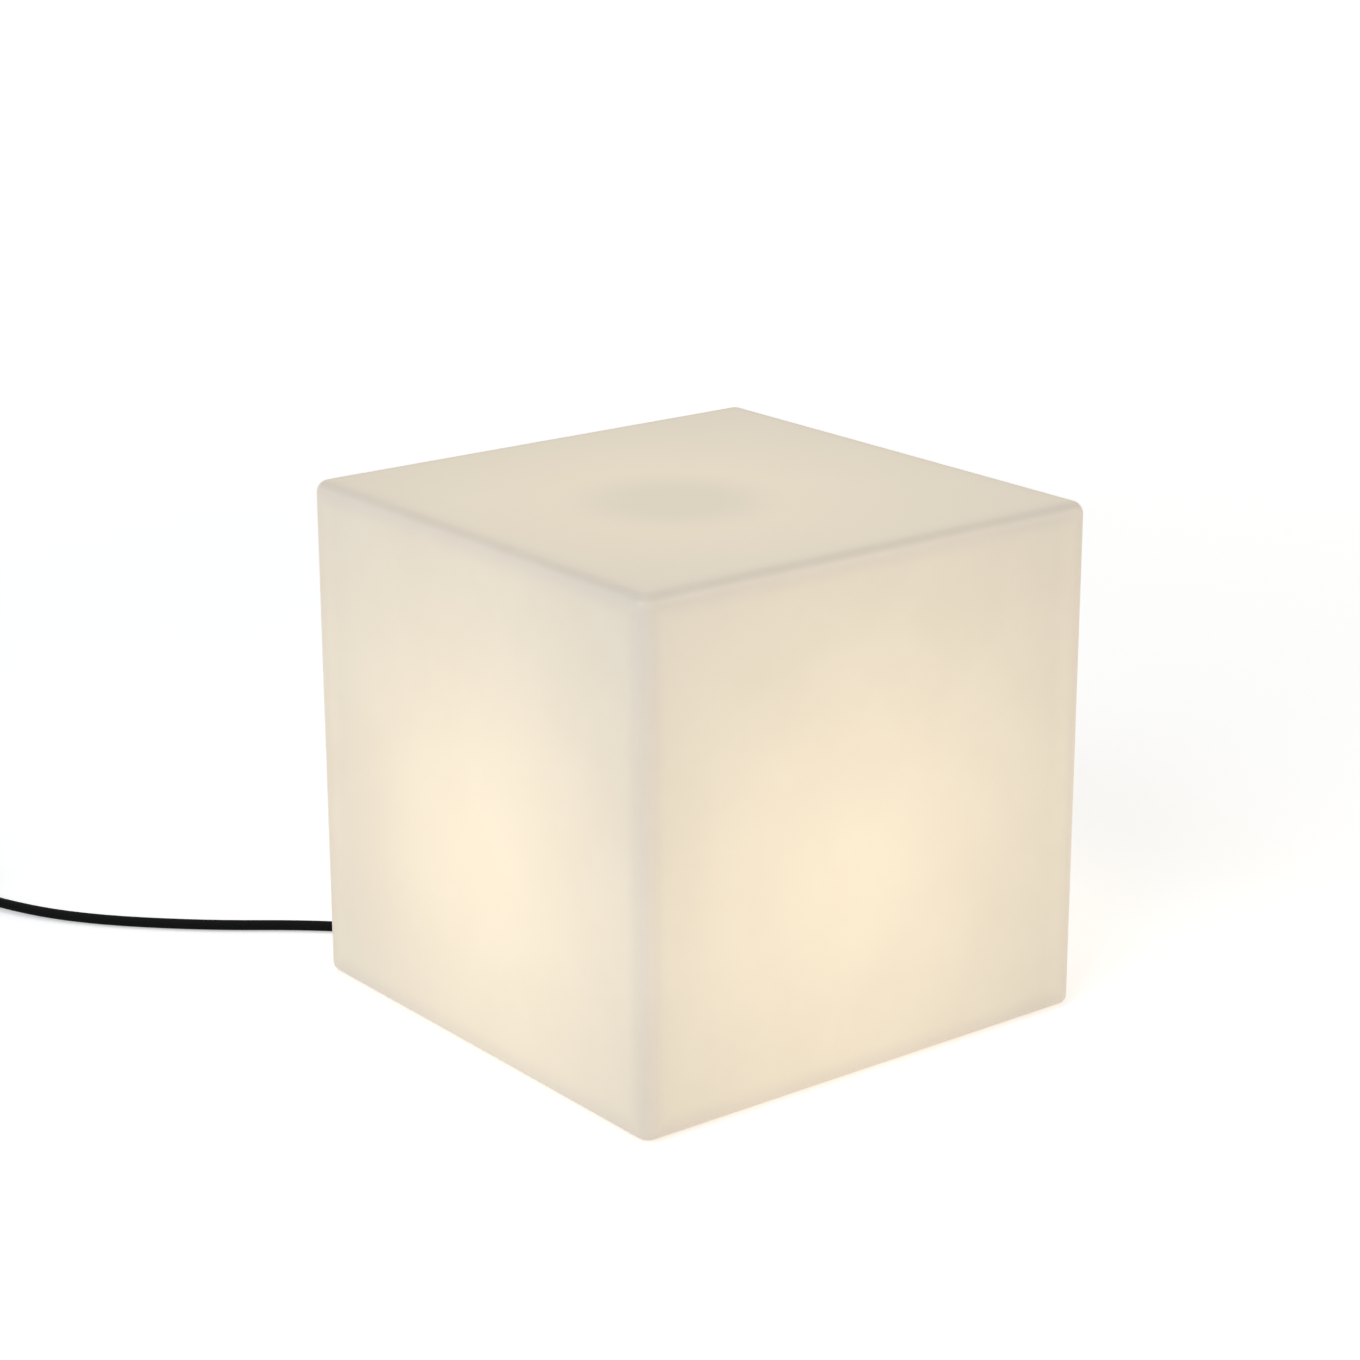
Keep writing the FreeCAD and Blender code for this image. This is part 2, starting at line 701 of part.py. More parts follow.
def make_bulb_cap():
    low = bulb_bottom + 3.5
    wave = thread_wave(sized(0))
    inner = cap_crest_radius - thread_depth - cap_wall
    skirt = neck_radius + 0.1
    top_wave = wave[-1][1]
    points = [(6.5, low), (inner - 0.5, low)] + wave
    points += [(skirt + cap_wall, top_wave + 1), (skirt + cap_wall, skirt_top), (skirt, skirt_top)]
    points += [(skirt, top_wave + 1.2), (inner, top_wave), (inner, low + 1.7), (inner - 0.7, low + cap_wall)]
    points += [(6.5, low + cap_wall)]
    keep("bulb_cap", turned("bulb_cap", points))
    contact_top = bulb_bottom + 0.9
    keep("cap_contact", turned("cap_contact", [
        (0, bulb_bottom), (2.5, bulb_bottom), (4.2, contact_top), (0, contact_top),
    ]))
    keep("cap_insulator", turned("cap_insulator", [
        (0, contact_top), (4.8, contact_top), (9.5, low), (0, low),
    ]))
    half = board_width / 2
    thin = board_thickness / 2
    board_low = low + cap_wall
    board_top = skirt_top - seal_depth
    strip = box("board_strip", (-half, -thin, board_low), (half, thin, board_top))
    capacitor = disc("capacitor", 2.5, board_low + 2, board_low + 10, 3, thin + 2.4)
    chip = box("chip", (-half + 2, -thin - 1.5, board_low + 5), (-1, -thin + 0.1, board_low + 10))
    keep("driver_board", fuse("driver_board", [strip, capacitor, chip]))


# ---- the gland on the cup's side

def make_gland():
    seat = cup_radius + gland_pad_depth / 2
    inside = cup_inner - gland_pad_depth
    hex_end = seat + gland_hex_length
    sleeve_end = hex_end + gland_sleeve_length
    thread_start = inside - gland_locknut_length - 2
    bore = cord_radius + gland_bore_gap
    seal_radius = gland_thread_radius - 0.9
    body = fuse("gland_blank", [
        disc("gland_thread", gland_thread_radius, thread_start, sleeve_end),
        hexagon("gland_hex", gland_across_flats, seat, hex_end),
    ])
    hollow = fuse("gland_hollow", [
        disc("gland_bore", bore, thread_start - 1, sleeve_end + 1),
        disc("gland_seat", seal_radius + fit_gap, hex_end, sleeve_end + 1),
    ])
    keep("gland_body", lay_along_cable(cut("gland_body", body, hollow)))

    nut = hexagon("locknut_blank", gland_across_flats, inside - gland_locknut_length, inside)
    nut_bore = disc("locknut_bore", gland_thread_radius + fit_gap, 0, inside + 1)
    keep("gland_locknut", lay_along_cable(cut("gland_locknut", nut, nut_bore)))

    seal = ring("gland_seal", cord_radius + fit_gap, seal_radius, hex_end, sleeve_end + 1)
    keep("gland_seal", lay_along_cable(seal))

    nut_end = hex_end + gland_nut_length
    grip_end = hex_end + gland_sleeve_length
    flat_radius = gland_across_flats / 2
    grip = hexagon("gland_grip", gland_across_flats, hex_end + 0.5, grip_end)
    dome = turned("gland_dome", [
        (0, grip_end - 1), (flat_radius, grip_end - 1), (flat_radius, grip_end + 1),
        (flat_radius - 1.5, nut_end - 2), (flat_radius - 3, nut_end), (0, nut_end),
    ])
    clear = fuse("dome_hollow", [
        disc("dome_thread", gland_thread_radius + fit_gap, 0, sleeve_end + 1),
        disc("dome_exit", cord_radius + gland_bore_gap * 2, 0, nut_end + 1),
    ])
    keep("gland_nut", lay_along_cable(cut("gland_nut", fuse("dome_blank", [grip, dome]), clear)))


# ---- the cord: straight runs joined by arcs, a coil of loops, a tail and the plug

def arc_from(start, heading, end):
    # the arc that leaves start along heading and ends at end
    chord = end - start
    side = heading - chord * (heading.dot(chord) / chord.dot(chord))
    if side.Length < 1e-6:
        return Part.LineSegment(start, end)
    angle = heading.getAngle(chord)
    bulge = side.normalize() * (chord.Length / 2 * math.tan(angle / 2))
    return Part.Arc(start, start + chord * 0.5 + bulge, end)


def biarc(start, heading, end, arrival):
    # two arcs that meet without a corner, leaving along heading and arriving along arrival
    chord = end - start
    both = heading + arrival
    a = 2 * (1 - heading.dot(arrival))
    b = 2 * chord.dot(both)
    c = -chord.dot(chord)
    if abs(a) < 1e-9:
        reach = -c / b
    else:
        reach = (-b + math.sqrt(b * b - 4 * a * c)) / (2 * a)
    middle = (start + end + (heading - arrival) * reach) * 0.5
    back = arc_from(end, arrival * -1, middle)
    back.reverse()
    return [arc_from(start, heading, middle), back]


def tube(name, curves, radius):
    path = Part.Wire([curve.toShape() for curve in curves])
    first = curves[0]
    start = first.value(first.FirstParameter)
    heading = first.tangent(first.FirstParameter)[0]
    section = Part.Wire(Part.Circle(start, heading, radius).toShape())
    solid = path.makePipeShell([section], True, False)
    expected = math.pi * radius ** 2 * path.Length
    print(f"{name}: length {path.Length:.1f} mm, volume {solid.Volume:.0f} of {expected:.0f} mm3")
    thing = doc.addObject("Part::Feature", name)
    thing.Shape = solid
    keep(name, thing)
    return path


def smooth_route(name, points):
    # each corner becomes an arc that takes 0.45 of the shorter run beside it
    curves = []
    last = points[0]
    for before, corner, after in zip(points, points[1:], points[2:]):
        into = (corner - before).normalize()
        out = (after - corner).normalize()
        reach = 0.45 * min((corner - before).Length, (after - corner).Length)
        half_turn = into.getAngle(out) / 2
        start = corner - into * reach
        end = corner + out * reach
        bend = reach / math.tan(half_turn)
        print(f"{name}: turn {math.degrees(2 * half_turn):.1f} deg, radius {bend:.0f} mm")
        curves.append(Part.LineSegment(last, start))
        curves.append(arc_from(start, into, end))
        last = end
    curves.append(Part.LineSegment(last, points[-1]))
    return curves


def cord_points():
    # out of the gland, down to the floor in the channel, then across the floor to the coil
    axis = gland_axis_height.value
    low = cord_radius.value
    points = [cable_way * jacket_end.value + UP * axis, cable_way * 80 + UP * axis]
    points += [cable_way * 130 + UP * low, cable_way * 178 + UP * low]
    for x, y in ((-121.5, 206.5), (-176.0, 248.0), (-228.5, 303.0)):
        points.append(Vector(x, y, low))
    for x, y in ((-256.0, 352.5), (-267.0, 405.0)):
        points.append(Vector(x, y, coil_bottom.value))
    return points


def coil_path(lead_start, entry, heading):
    # layers that spiral in and out in turn; the cord climbs in the half turn where it reverses
    spacing = coil_spacing.value
    outer = coil_radius.value + spacing * coil_turns / 2
    flat = Vector(heading.x, heading.y, 0).normalize()
    outward = flat.cross(UP)
    centre = Vector(entry.x, entry.y, 0) - outward * outer
    first_angle = math.atan2(outward.y, outward.x)
    per_turn = 2 * math.pi
    leave_angle = math.pi
    quarter = per_turn / 4
    stages = []
    angle = 0.0
    for layer in range(coil_layers):
        sign = -1 if layer % 2 == 0 else 1
        span = coil_turns * per_turn
        if layer == coil_layers - 1:
            whole = first_angle + angle + span - leave_angle
            span -= whole - per_turn * round(whole / per_turn)
        stages.append((angle, angle + span, layer, sign, False))
        angle += span
        if layer < coil_layers - 1:
            stages.append((angle, angle + per_turn / 2, layer, sign, True))
            angle += per_turn / 2

    nodes = []
    radius = outer
    for start, end, layer, sign, climbs in stages:
        steps = max(1, round((end - start) / quarter))
        for k in range(steps):
            share = k / steps
            here = start + (end - start) * share
            nodes.append((here, *coil_state(radius, start, end, here, layer, sign, climbs)))
        if not climbs:
            radius += sign * spacing * (end - start) / per_turn
    top_layer = coil_bottom.value + (coil_layers - 1) * spacing
    nodes.append((end, radius, top_layer, sign, 0.0))

    def place(angle_here, radius_here, height):
        turned_by = first_angle + angle_here
        return centre + Vector(
            radius_here * math.cos(turned_by), radius_here * math.sin(turned_by), height)

    def direction(angle_here, radius_here, sign, climb):
        turned_by = first_angle + angle_here
        out = Vector(math.cos(turned_by), math.sin(turned_by), 0)
        along = Vector(-out.y, out.x, 0)
        rate = sign * spacing / per_turn
        return (along * radius_here + out * rate + UP * climb).normalize()

    places = [place(a, r, z) for a, r, z, s, c in nodes]
    headings = [direction(a, r, s, c) for a, r, z, s, c in nodes]
    headings[0] = flat
    curves = [Part.LineSegment(lead_start, places[0])]
    for k in range(len(places) - 1):
        curves += biarc(places[k], headings[k], places[k + 1], headings[k + 1])
    lead = 2 * cord_radius.value
    tail = places[-1] + headings[-1] * lead
    curves.append(Part.LineSegment(places[-1], tail))
    return curves, centre, tail, headings[-1]


def coil_state(radius, start, end, here, layer, sign, climbs):
    # radius, height, which way the radius goes and how fast the height grows
    spacing = coil_spacing.value
    per_turn = 2 * math.pi
    floor = coil_bottom.value + layer * spacing
    if not climbs:
        return radius + sign * spacing * (here - start) / per_turn, floor, sign, 0.0
    share = (here - start) / (end - start)
    reach = min(share, 1 - share) / 2 * spacing
    slope = spacing / (end - start) if 0 < share < 1 else 0.0
    trend = 0 if share == 0.5 else sign
    return radius + sign * reach, floor + spacing * share, trend, slope


def least_gap(path, radius):
    # points close along the cord are neighbours; any others may not come within a diameter
    points = path.discretize(Distance=3.0)
    apart = int(coil_radius.value * 2 / 3.0)
    nearest = min(
        (p - q).Length for k, p in enumerate(points) for q in points[k + apart:]
    )
    return nearest - 2 * radius


def make_cord():
    points = cord_points()
    tube("cord_run", smooth_route("cord_run", points), cord_radius.value)
    last_way = (points[-1] - points[-2]).normalize()
    lead = 2 * cord_radius.value
    entry = points[-1]
    flat = Vector(last_way.x, last_way.y, 0).normalize()
    curves, centre, tail, leaving = coil_path(entry, entry + flat * lead, flat)
    path = tube("cord_coil", curves, cord_radius.value)
    print(f"cord_coil: least gap between turns {least_gap(path, cord_radius.value):.2f} mm")

    # the tail comes down from the top of the coil to the plug's axis
    plug_entry = Vector(tail.x, tail.y - 96, plug_axis.value)
    stops = [tail, tail + leaving * 26, Vector(tail.x, tail.y - 62, plug_axis.value), plug_entry]
    tube("cord_tail", smooth_route("cord_tail", stops), cord_radius.value)
    make_tie(centre)
    make_plug(plug_entry)


def make_tie(centre):
    # a strap round all the turns at one place
    swing = coil_spacing * (coil_turns / 2 + 0.25)
    low_r = coil_radius - swing - cord_radius - tie_gap - 1
    high_r = coil_radius + swing + cord_radius + tie_gap
    low_z = coil_bottom - cord_radius - 0.2
    high_z = coil_bottom + coil_spacing * (coil_layers - 1) + cord_radius + tie_gap
    half = tie_width / 2
    solid = Part.makeBox(
        (high_r - low_r + tie_thickness * 2).value, tie_width.value,
        (high_z - low_z + tie_thickness * 2).value,
        Vector((low_r - tie_thickness).value, -half.value, (low_z - tie_thickness).value))
    gap = Part.makeBox(
        (high_r - low_r).value, tie_width.value + 2, (high_z - low_z).value,
        Vector(low_r.value, -half.value - 1, low_z.value))
    solid = solid.cut(gap)
    tie = doc.addObject("Part::Feature", "coil_tie")
    tie.Shape = solid
    tie.Placement = FreeCAD.Placement(centre, FreeCAD.Rotation(UP, 250))
    keep("coil_tie", tie)


def make_plug(entry):
    # built standing along +Z from the cord's end, then laid down towards the viewer
    body_low = relief_length
    body_top = relief_length + plug_length
    relief = turned("plug_relief", [
        (0, 0), (relief_thin_radius, 0), (relief_thick_radius, body_low), (0, body_low),
    ])
    half_width = plug_width / 2
    half_height = plug_height / 2
    block = box("plug_block", (-half_width, -half_height, body_low), (half_width, half_height, body_top))

    def corner(edge):
        return plug_corner_radius if stands(edge) else None

    shaped = rounded("plug_shaped", block, corner)
    pins = []
    holes = []
    for k, side in enumerate((-1, 1)):
        x = pin_spacing * side / 2
        root = body_top - pin_root
        holes.append(disc(f"pin_hole_{k}", pin_root_radius + fit_gap, root, body_top + 1, x))
        held = disc(f"pin_root_{k}", pin_root_radius, root, body_top + 1, x)
        blade = disc(f"pin_blade_{k}", pin_radius, body_top, body_top + pin_length, x)
        pins.append(fuse(f"pin_{k}", [held, blade]))
    body = cut("plug_body", shaped, fuse("pin_holes", holes))
    lying = FreeCAD.Placement(entry, FreeCAD.Rotation(Vector(1, 0, 0), 90))
    both_pins = group("plug_pins", pins)
    for name, thing in (("plug_relief", relief), ("plug_body", body), ("plug_pins", both_pins)):
        thing.Placement = lying
        keep(name, thing)


def make_wires():
    # two cores from the jacket's end to the middle, up through the nipple and out to the terminals
    axis = gland_axis_height.value
    bend = 9.0
    rise_end = strap_top.value + 5
    foot = (cap_joint - contact_block_height - terminal_head_height).value
    for name, side in (("wire_live", -1), ("wire_neutral", 1)):
        offset = across_way * (side * wire_offset.value)
        start = cable_way * jacket_end.value + offset + UP * axis
        turn_in = cable_way * bend + offset + UP * axis
        turn_out = offset + UP * (axis + bend)
        top = offset + UP * rise_end
        end = across_way * (side * terminal_offset.value) + UP * foot
        curves = [
            Part.LineSegment(start, turn_in), arc_from(turn_in, cable_way * -1, turn_out),
            Part.LineSegment(turn_out, top),
        ] + biarc(top, UP, end, UP)
        tube(name, curves, wire_radius.value)


make_shell()
make_shell_feet()
make_inserts()
make_base_plate()
make_gasket()
make_plate_screws()
make_base_feet()
make_strap()
make_strap_screws()
make_nipple()
make_lampholder()
make_screw_sleeve()
make_bulb_glass()
make_bulb_inside()
make_bulb_cap()
make_gland()
make_wires()
make_cord()
doc.recompute()

for thing in doc.Objects:
    if "Invalid" in thing.State or "Error" in thing.State:
        raise RuntimeError(f"{thing.Name} failed: {thing.State}")
for name, thing in subparts.items():
    if thing.Shape.isNull() or not thing.Shape.isValid() or not thing.Shape.Solids:
        raise RuntimeError(f"{name} has no sound solid")
os.makedirs("parts", exist_ok=True)
for name, thing in subparts.items():
    bounds = thing.Shape.BoundBox
    print(f"{name}: {len(thing.Shape.Solids)} solids, {thing.Shape.Volume:.0f} mm3, "
          f"z {bounds.ZMin:.2f} to {bounds.ZMax:.2f}")
    thing.Shape.exportStep(f"parts/{name}.step")
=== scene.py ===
import json
import math
import bpy
from mathutils import Matrix, Vector

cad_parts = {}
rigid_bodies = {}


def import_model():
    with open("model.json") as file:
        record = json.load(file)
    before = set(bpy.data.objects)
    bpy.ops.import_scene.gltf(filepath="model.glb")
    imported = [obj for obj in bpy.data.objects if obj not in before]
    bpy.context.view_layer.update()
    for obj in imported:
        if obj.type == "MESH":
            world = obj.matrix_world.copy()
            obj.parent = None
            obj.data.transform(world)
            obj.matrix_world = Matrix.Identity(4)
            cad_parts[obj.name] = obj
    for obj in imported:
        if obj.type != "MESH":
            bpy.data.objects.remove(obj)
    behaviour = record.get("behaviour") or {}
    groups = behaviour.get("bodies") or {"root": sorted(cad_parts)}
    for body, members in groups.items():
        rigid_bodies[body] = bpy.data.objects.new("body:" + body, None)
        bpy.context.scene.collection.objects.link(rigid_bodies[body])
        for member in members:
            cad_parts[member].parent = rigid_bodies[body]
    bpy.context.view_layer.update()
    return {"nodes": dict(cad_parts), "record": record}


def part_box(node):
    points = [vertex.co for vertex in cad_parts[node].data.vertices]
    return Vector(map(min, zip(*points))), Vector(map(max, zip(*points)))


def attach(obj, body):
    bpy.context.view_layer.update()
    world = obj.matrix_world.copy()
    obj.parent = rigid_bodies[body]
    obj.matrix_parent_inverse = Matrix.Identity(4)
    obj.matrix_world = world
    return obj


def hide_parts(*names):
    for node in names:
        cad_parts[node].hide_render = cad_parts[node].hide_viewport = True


# lengths are metres, angles in the dictionaries are degrees
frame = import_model()
nodes = frame["nodes"]
scene = bpy.context.scene
scene.view_settings.view_transform = "Standard"
upwards = Vector((0, 0, 1))
white = (1, 1, 1, 1)
black = (0, 0, 0, 1)
print("frame loaded:", len(nodes), "nodes")


# tools for modelling

smoothAngle = 35  # faces that meet at less than this are shaded as one surface


def deselectAll():
    for thing in bpy.context.view_layer.objects:
        thing.select_set(False)


def pickOnly(thing):
    deselectAll()
    thing.select_set(True)
    bpy.context.view_layer.objects.active = thing


def applyModifier(thing, kind, **settings):
    modifier = thing.modifiers.new(kind.lower(), kind)
    for key, value in settings.items():
        setattr(modifier, key, value)
    pickOnly(thing)
    bpy.ops.object.modifier_apply(modifier=modifier.name)


def selectWhere(thing, mode, test):
    bpy.ops.object.mode_set(mode="OBJECT")
    mesh = thing.data
    groups = {"VERT": mesh.vertices, "EDGE": mesh.edges, "FACE": mesh.polygons}
    for group in groups.values():
        for item in group:
            item.select = False
    for item in groups[mode]:
        item.select = bool(test(item))
    bpy.ops.object.mode_set(mode="EDIT")
    bpy.ops.mesh.select_mode(type=mode)


def makeRib(size, edge, edgeSteps):
    deselectAll()
    bpy.ops.mesh.primitive_cube_add(size=1)
    rib = bpy.context.active_object
    rib.scale = size
    bpy.ops.object.transform_apply(location=False, rotation=False, scale=True)
    applyModifier(rib, "BEVEL", width=edge, segments=edgeSteps)
    return rib


def copiesOf(thing, count):
    # the piece itself and as many copies, each with its own mesh, as make up the count
    copies = [thing]
    while len(copies) < count:
        double = thing.copy()
        double.data = thing.data.copy()
        scene.collection.objects.link(double)
        copies.append(double)
    return copies


def joinPieces(pieces):
    deselectAll()
    for piece in pieces:
        piece.select_set(True)
    bpy.context.view_layer.objects.active = pieces[0]
    bpy.ops.object.join()
    return pieces[0]


def finishPiece(thing, name, body, slotName, *replaced):
    pickOnly(thing)
    bpy.ops.object.transform_apply(location=True, rotation=True, scale=True)
    bpy.ops.object.shade_smooth_by_angle(angle=math.radians(smoothAngle))
    thing.name = name
    thing.data.name = name
    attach(thing, body)
    if replaced:
        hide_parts(*replaced)
    return thing


# camera, in the photograph's place
cameraFit = {
    "azimuth": -37.865,
    "elevation": 17.511,
    "roll": -0.123,
    "place": (-1.0792, -1.3746, 0.7337),
    "lens": 88.14,  # millimetres, as is the sensor
    "sensor": 36.0,
    "farthest": 50,
}


def makeCamera():
    azimuth = math.radians(cameraFit["azimuth"])
    elevation = math.radians(cameraFit["elevation"])
    roll = math.radians(cameraFit["roll"])
    side = Vector((math.cos(azimuth), math.sin(azimuth), 0))
    back = Vector((
        math.sin(azimuth) * math.cos(elevation),
        -math.cos(azimuth) * math.cos(elevation),
        math.sin(elevation),
    ))
    top = back.cross(side)
    turnedSide = side * math.cos(roll) + top * math.sin(roll)
    turnedTop = top * math.cos(roll) - side * math.sin(roll)
    data = bpy.data.cameras.new("photoCamera")
    data.lens = cameraFit["lens"]
    data.sensor_width = cameraFit["sensor"]
    data.clip_end = cameraFit["farthest"]
    camera = bpy.data.objects.new("photoCamera", data)
    scene.collection.objects.link(camera)
    pose = Matrix((turnedSide, turnedTop, back)).transposed().to_4x4()
    pose.translation = cameraFit["place"]
    camera.matrix_world = pose
    scene.camera = camera


makeCamera()
print("camera placed")


# the cord: out of the gland, along the channel and the floor, into its coil and on to the plug
cordLook = {
    "diameter": 0.006,
    "wayOut": (-0.075, 0.150),  # from the middle, towards the rear edge
    "exitReach": 0.060,  # from the middle to the end of the gland's seal
    "glandReach": (0.032, 0.080),  # points at the gland's height
    "channelReach": (0.130, 0.178),  # points on the floor, in the channel and just past the rear edge
    "floorPoints": ((-0.1215, 0.2065), (-0.176, 0.248), (-0.2285, 0.303)),
    "coilApproach": ((-0.256, 0.3525), (-0.267, 0.405)),
    "coilFloor": 0.0042,  # height of the coil's lowest centre line
    "coilRadius": 0.034,
    "coilSpacing": 0.0066,
    "coilLayers": 4,
    "layerTurns": 2.5,
    "climbTurns": 0.5,  # between two layers
    "climbSwing": 0.5,  # how far a climb swings aside, in spacings
    "leaveAngle": 180,
    "pointsPerTurn": 16,
    "tailLevel": 0.026,  # the tail stays at the coil's top for this far
    "tailDown": 0.062,  # and is down at the plug's height after this far
    "roundness": 12,
    "order": 3,
    "stepsPerPoint": 6,
}
coilWiden = 1 / math.cos(math.pi / cordLook["pointsPerTurn"])  # a smooth line runs inside its points


def cordRoute():
    way = Vector((*cordLook["wayOut"], 0)).normalized()
    nutLow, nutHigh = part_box("gland_nut")
    axis = Vector((0, 0, (nutLow.z + nutHigh.z) / 2))
    radius = cordLook["diameter"] / 2
    low = Vector((0, 0, radius))
    points = [way * reach + axis for reach in cordLook["glandReach"]]
    points += [way * reach + low for reach in cordLook["channelReach"]]
    points += [Vector((x, y, radius)) for x, y in cordLook["floorPoints"]]
    points += [Vector((x, y, cordLook["coilFloor"])) for x, y in cordLook["coilApproach"]]
    return points, way * cordLook["exitReach"] + axis


def coilPlace():
    # the coil's centre, the way from it to where the cord comes in, and how far that is
    route = cordRoute()[0]
    heading = route[-1] - route[-2]
    heading.z = 0
    heading.normalize()
    entry = route[-1] + heading * cordLook["diameter"]
    outward = heading.cross(upwards)
    outer = cordLook["coilRadius"] + cordLook["coilSpacing"] * cordLook["layerTurns"] / 2
    return entry - outward * outer, outward, outer


def coilPoints():
    # layers that spiral in and out in turn, with a climb where the spiral turns back
    centre, outward, outer = coilPlace()
    spacing = cordLook["coilSpacing"]
    turns = cordLook["layerTurns"]
    firstAngle = math.atan2(outward.y, outward.x)
    leaveAngle = math.radians(cordLook["leaveAngle"])
    stages = []
    for layer in range(cordLook["coilLayers"]):
        sign = -1 if layer % 2 == 0 else 1
        stages.append((turns, layer, sign, False))
        if layer < cordLook["coilLayers"] - 1:
            stages.append((cordLook["climbTurns"], layer, sign, True))
    # the last layer is as long as brings the cord round to the angle at which it leaves
    whole = firstAngle / math.tau + sum(stage[0] for stage in stages) - leaveAngle / math.tau
    stages[-1] = (turns - (whole - round(whole)), *stages[-1][1:])
    points = []
    angle = firstAngle
    radius = outer
    for length, layer, sign, climbs in stages:
        steps = round(length * cordLook["pointsPerTurn"])
        for k in range(steps):
            share = k / steps
            if climbs:
                reach = radius + sign * min(share, 1 - share) * cordLook["climbSwing"] * spacing
                height = (layer + share) * spacing
            else:
                reach = radius + sign * spacing * length * share
                height = layer * spacing
            here = angle + math.tau * length * share
            points.append(centre + Vector((
                math.cos(here) * reach * coilWiden, math.sin(here) * reach * coilWiden, height)))
        if not climbs:
            radius += sign * spacing * length
        angle += math.tau * length
    top = (cordLook["coilLayers"] - 1) * spacing
    points.append(centre + Vector((math.cos(angle) * radius, math.sin(angle) * radius, top)))
    leaving = Vector((-math.sin(angle), math.cos(angle), 0))
    return points, leaving


def makeCord():
    points, exitPoint = cordRoute()
    loops, leaving = coilPoints()
    tail = loops[-1] + leaving * cordLook["diameter"]
    reliefLow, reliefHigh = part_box("plug_relief")
    plugAxis = (reliefLow.z + reliefHigh.z) / 2
    points += loops + [tail + leaving * cordLook["tailLevel"]]
    points += [
        Vector((tail.x, tail.y - cordLook["tailDown"], plugAxis)), Vector((tail.x, reliefHigh.y, plugAxis))]
    data = bpy.data.curves.new("cord", "CURVE")
    data.dimensions = "3D"
    data.bevel_depth = 1.0  # the points' radius gives the thickness, because the bounding box counts it
    data.bevel_resolution = cordLook["roundness"] // 2
    data.use_fill_caps = True
    data.resolution_u = cordLook["stepsPerPoint"]
    spline = data.splines.new("NURBS")
    spline.points.add(len(points) - 1)
    for place, point in zip(spline.points, points):
        place.co = (*point, 1)
        place.radius = cordLook["diameter"] / 2
    spline.order_u = cordLook["order"]
    spline.use_endpoint_u = True
    cord = bpy.data.objects.new("cord", data)
    scene.collection.objects.link(cord)
    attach(cord, "base")
    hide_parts("cord_run", "cord_coil", "cord_tail")
    return cord, exitPoint


cord, cordExit = makeCord()
print("cord laid")


# grip ribs moulded on the lampholder's barrel
ribLook = {
    "count": 28,
    "width": 0.0016,
    "proud": 0.0006,
    "sunk": 0.0006,
    "margin": 0.006,  # bare barrel at either end
    "edge": 0.0004,
    "edgeSteps": 3,
}


def makeBarrelRibs():
    low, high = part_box("lampholder_barrel")
    middle = (low + high) / 2
    radius = (high.x - low.x) / 2
    length = high.z - low.z - ribLook["margin"] * 2
    deep = ribLook["proud"] + ribLook["sunk"]
    away = radius + (ribLook["proud"] - ribLook["sunk"]) / 2
    firstRib = makeRib((deep, ribLook["width"], length), ribLook["edge"], ribLook["edgeSteps"])
    ribs = copiesOf(firstRib, ribLook["count"])
    for k, rib in enumerate(ribs):
        angle = math.tau * k / ribLook["count"]
        rib.location = (
            middle.x + math.cos(angle) * away, middle.y + math.sin(angle) * away, middle.z)
        rib.rotation_euler = (0, 0, angle)
    return finishPiece(joinPieces(ribs), "barrelRibs", "base", "holder_plastic")


barrelRibs = makeBarrelRibs()
print("barrel ribs made")


# the plug's body: sides drawn in towards its cord, rounded edges and a row of grip ribs on each side
plugLook = {
    "shoulder": 0.12,  # where the sides start to draw in, past the middle, as a share of the length
    "endWidth": 0.66,
    "endHeight": 0.9,
    "squareOn": 0.9,  # a face looks towards the cord when its normal has more of that way than this
    "edge": 0.0032,
    "edgeSteps": 4,
    "edgeAngle": 20,
    "ribs": 4,
    "ribStart": 0.05,  # the first rib, on the other side of the middle, as a share of the length
    "ribStep": 0.085,
    "ribHeight": 0.62,  # as a share of the body's
    "ribWidth": 0.0016,
    "ribDepth": 0.0007,
    "ribInset": 0.0002,  # the rib's middle, inside the body's side
    "ribEdge": 0.0003,
    "ribEdgeSteps": 2,
}


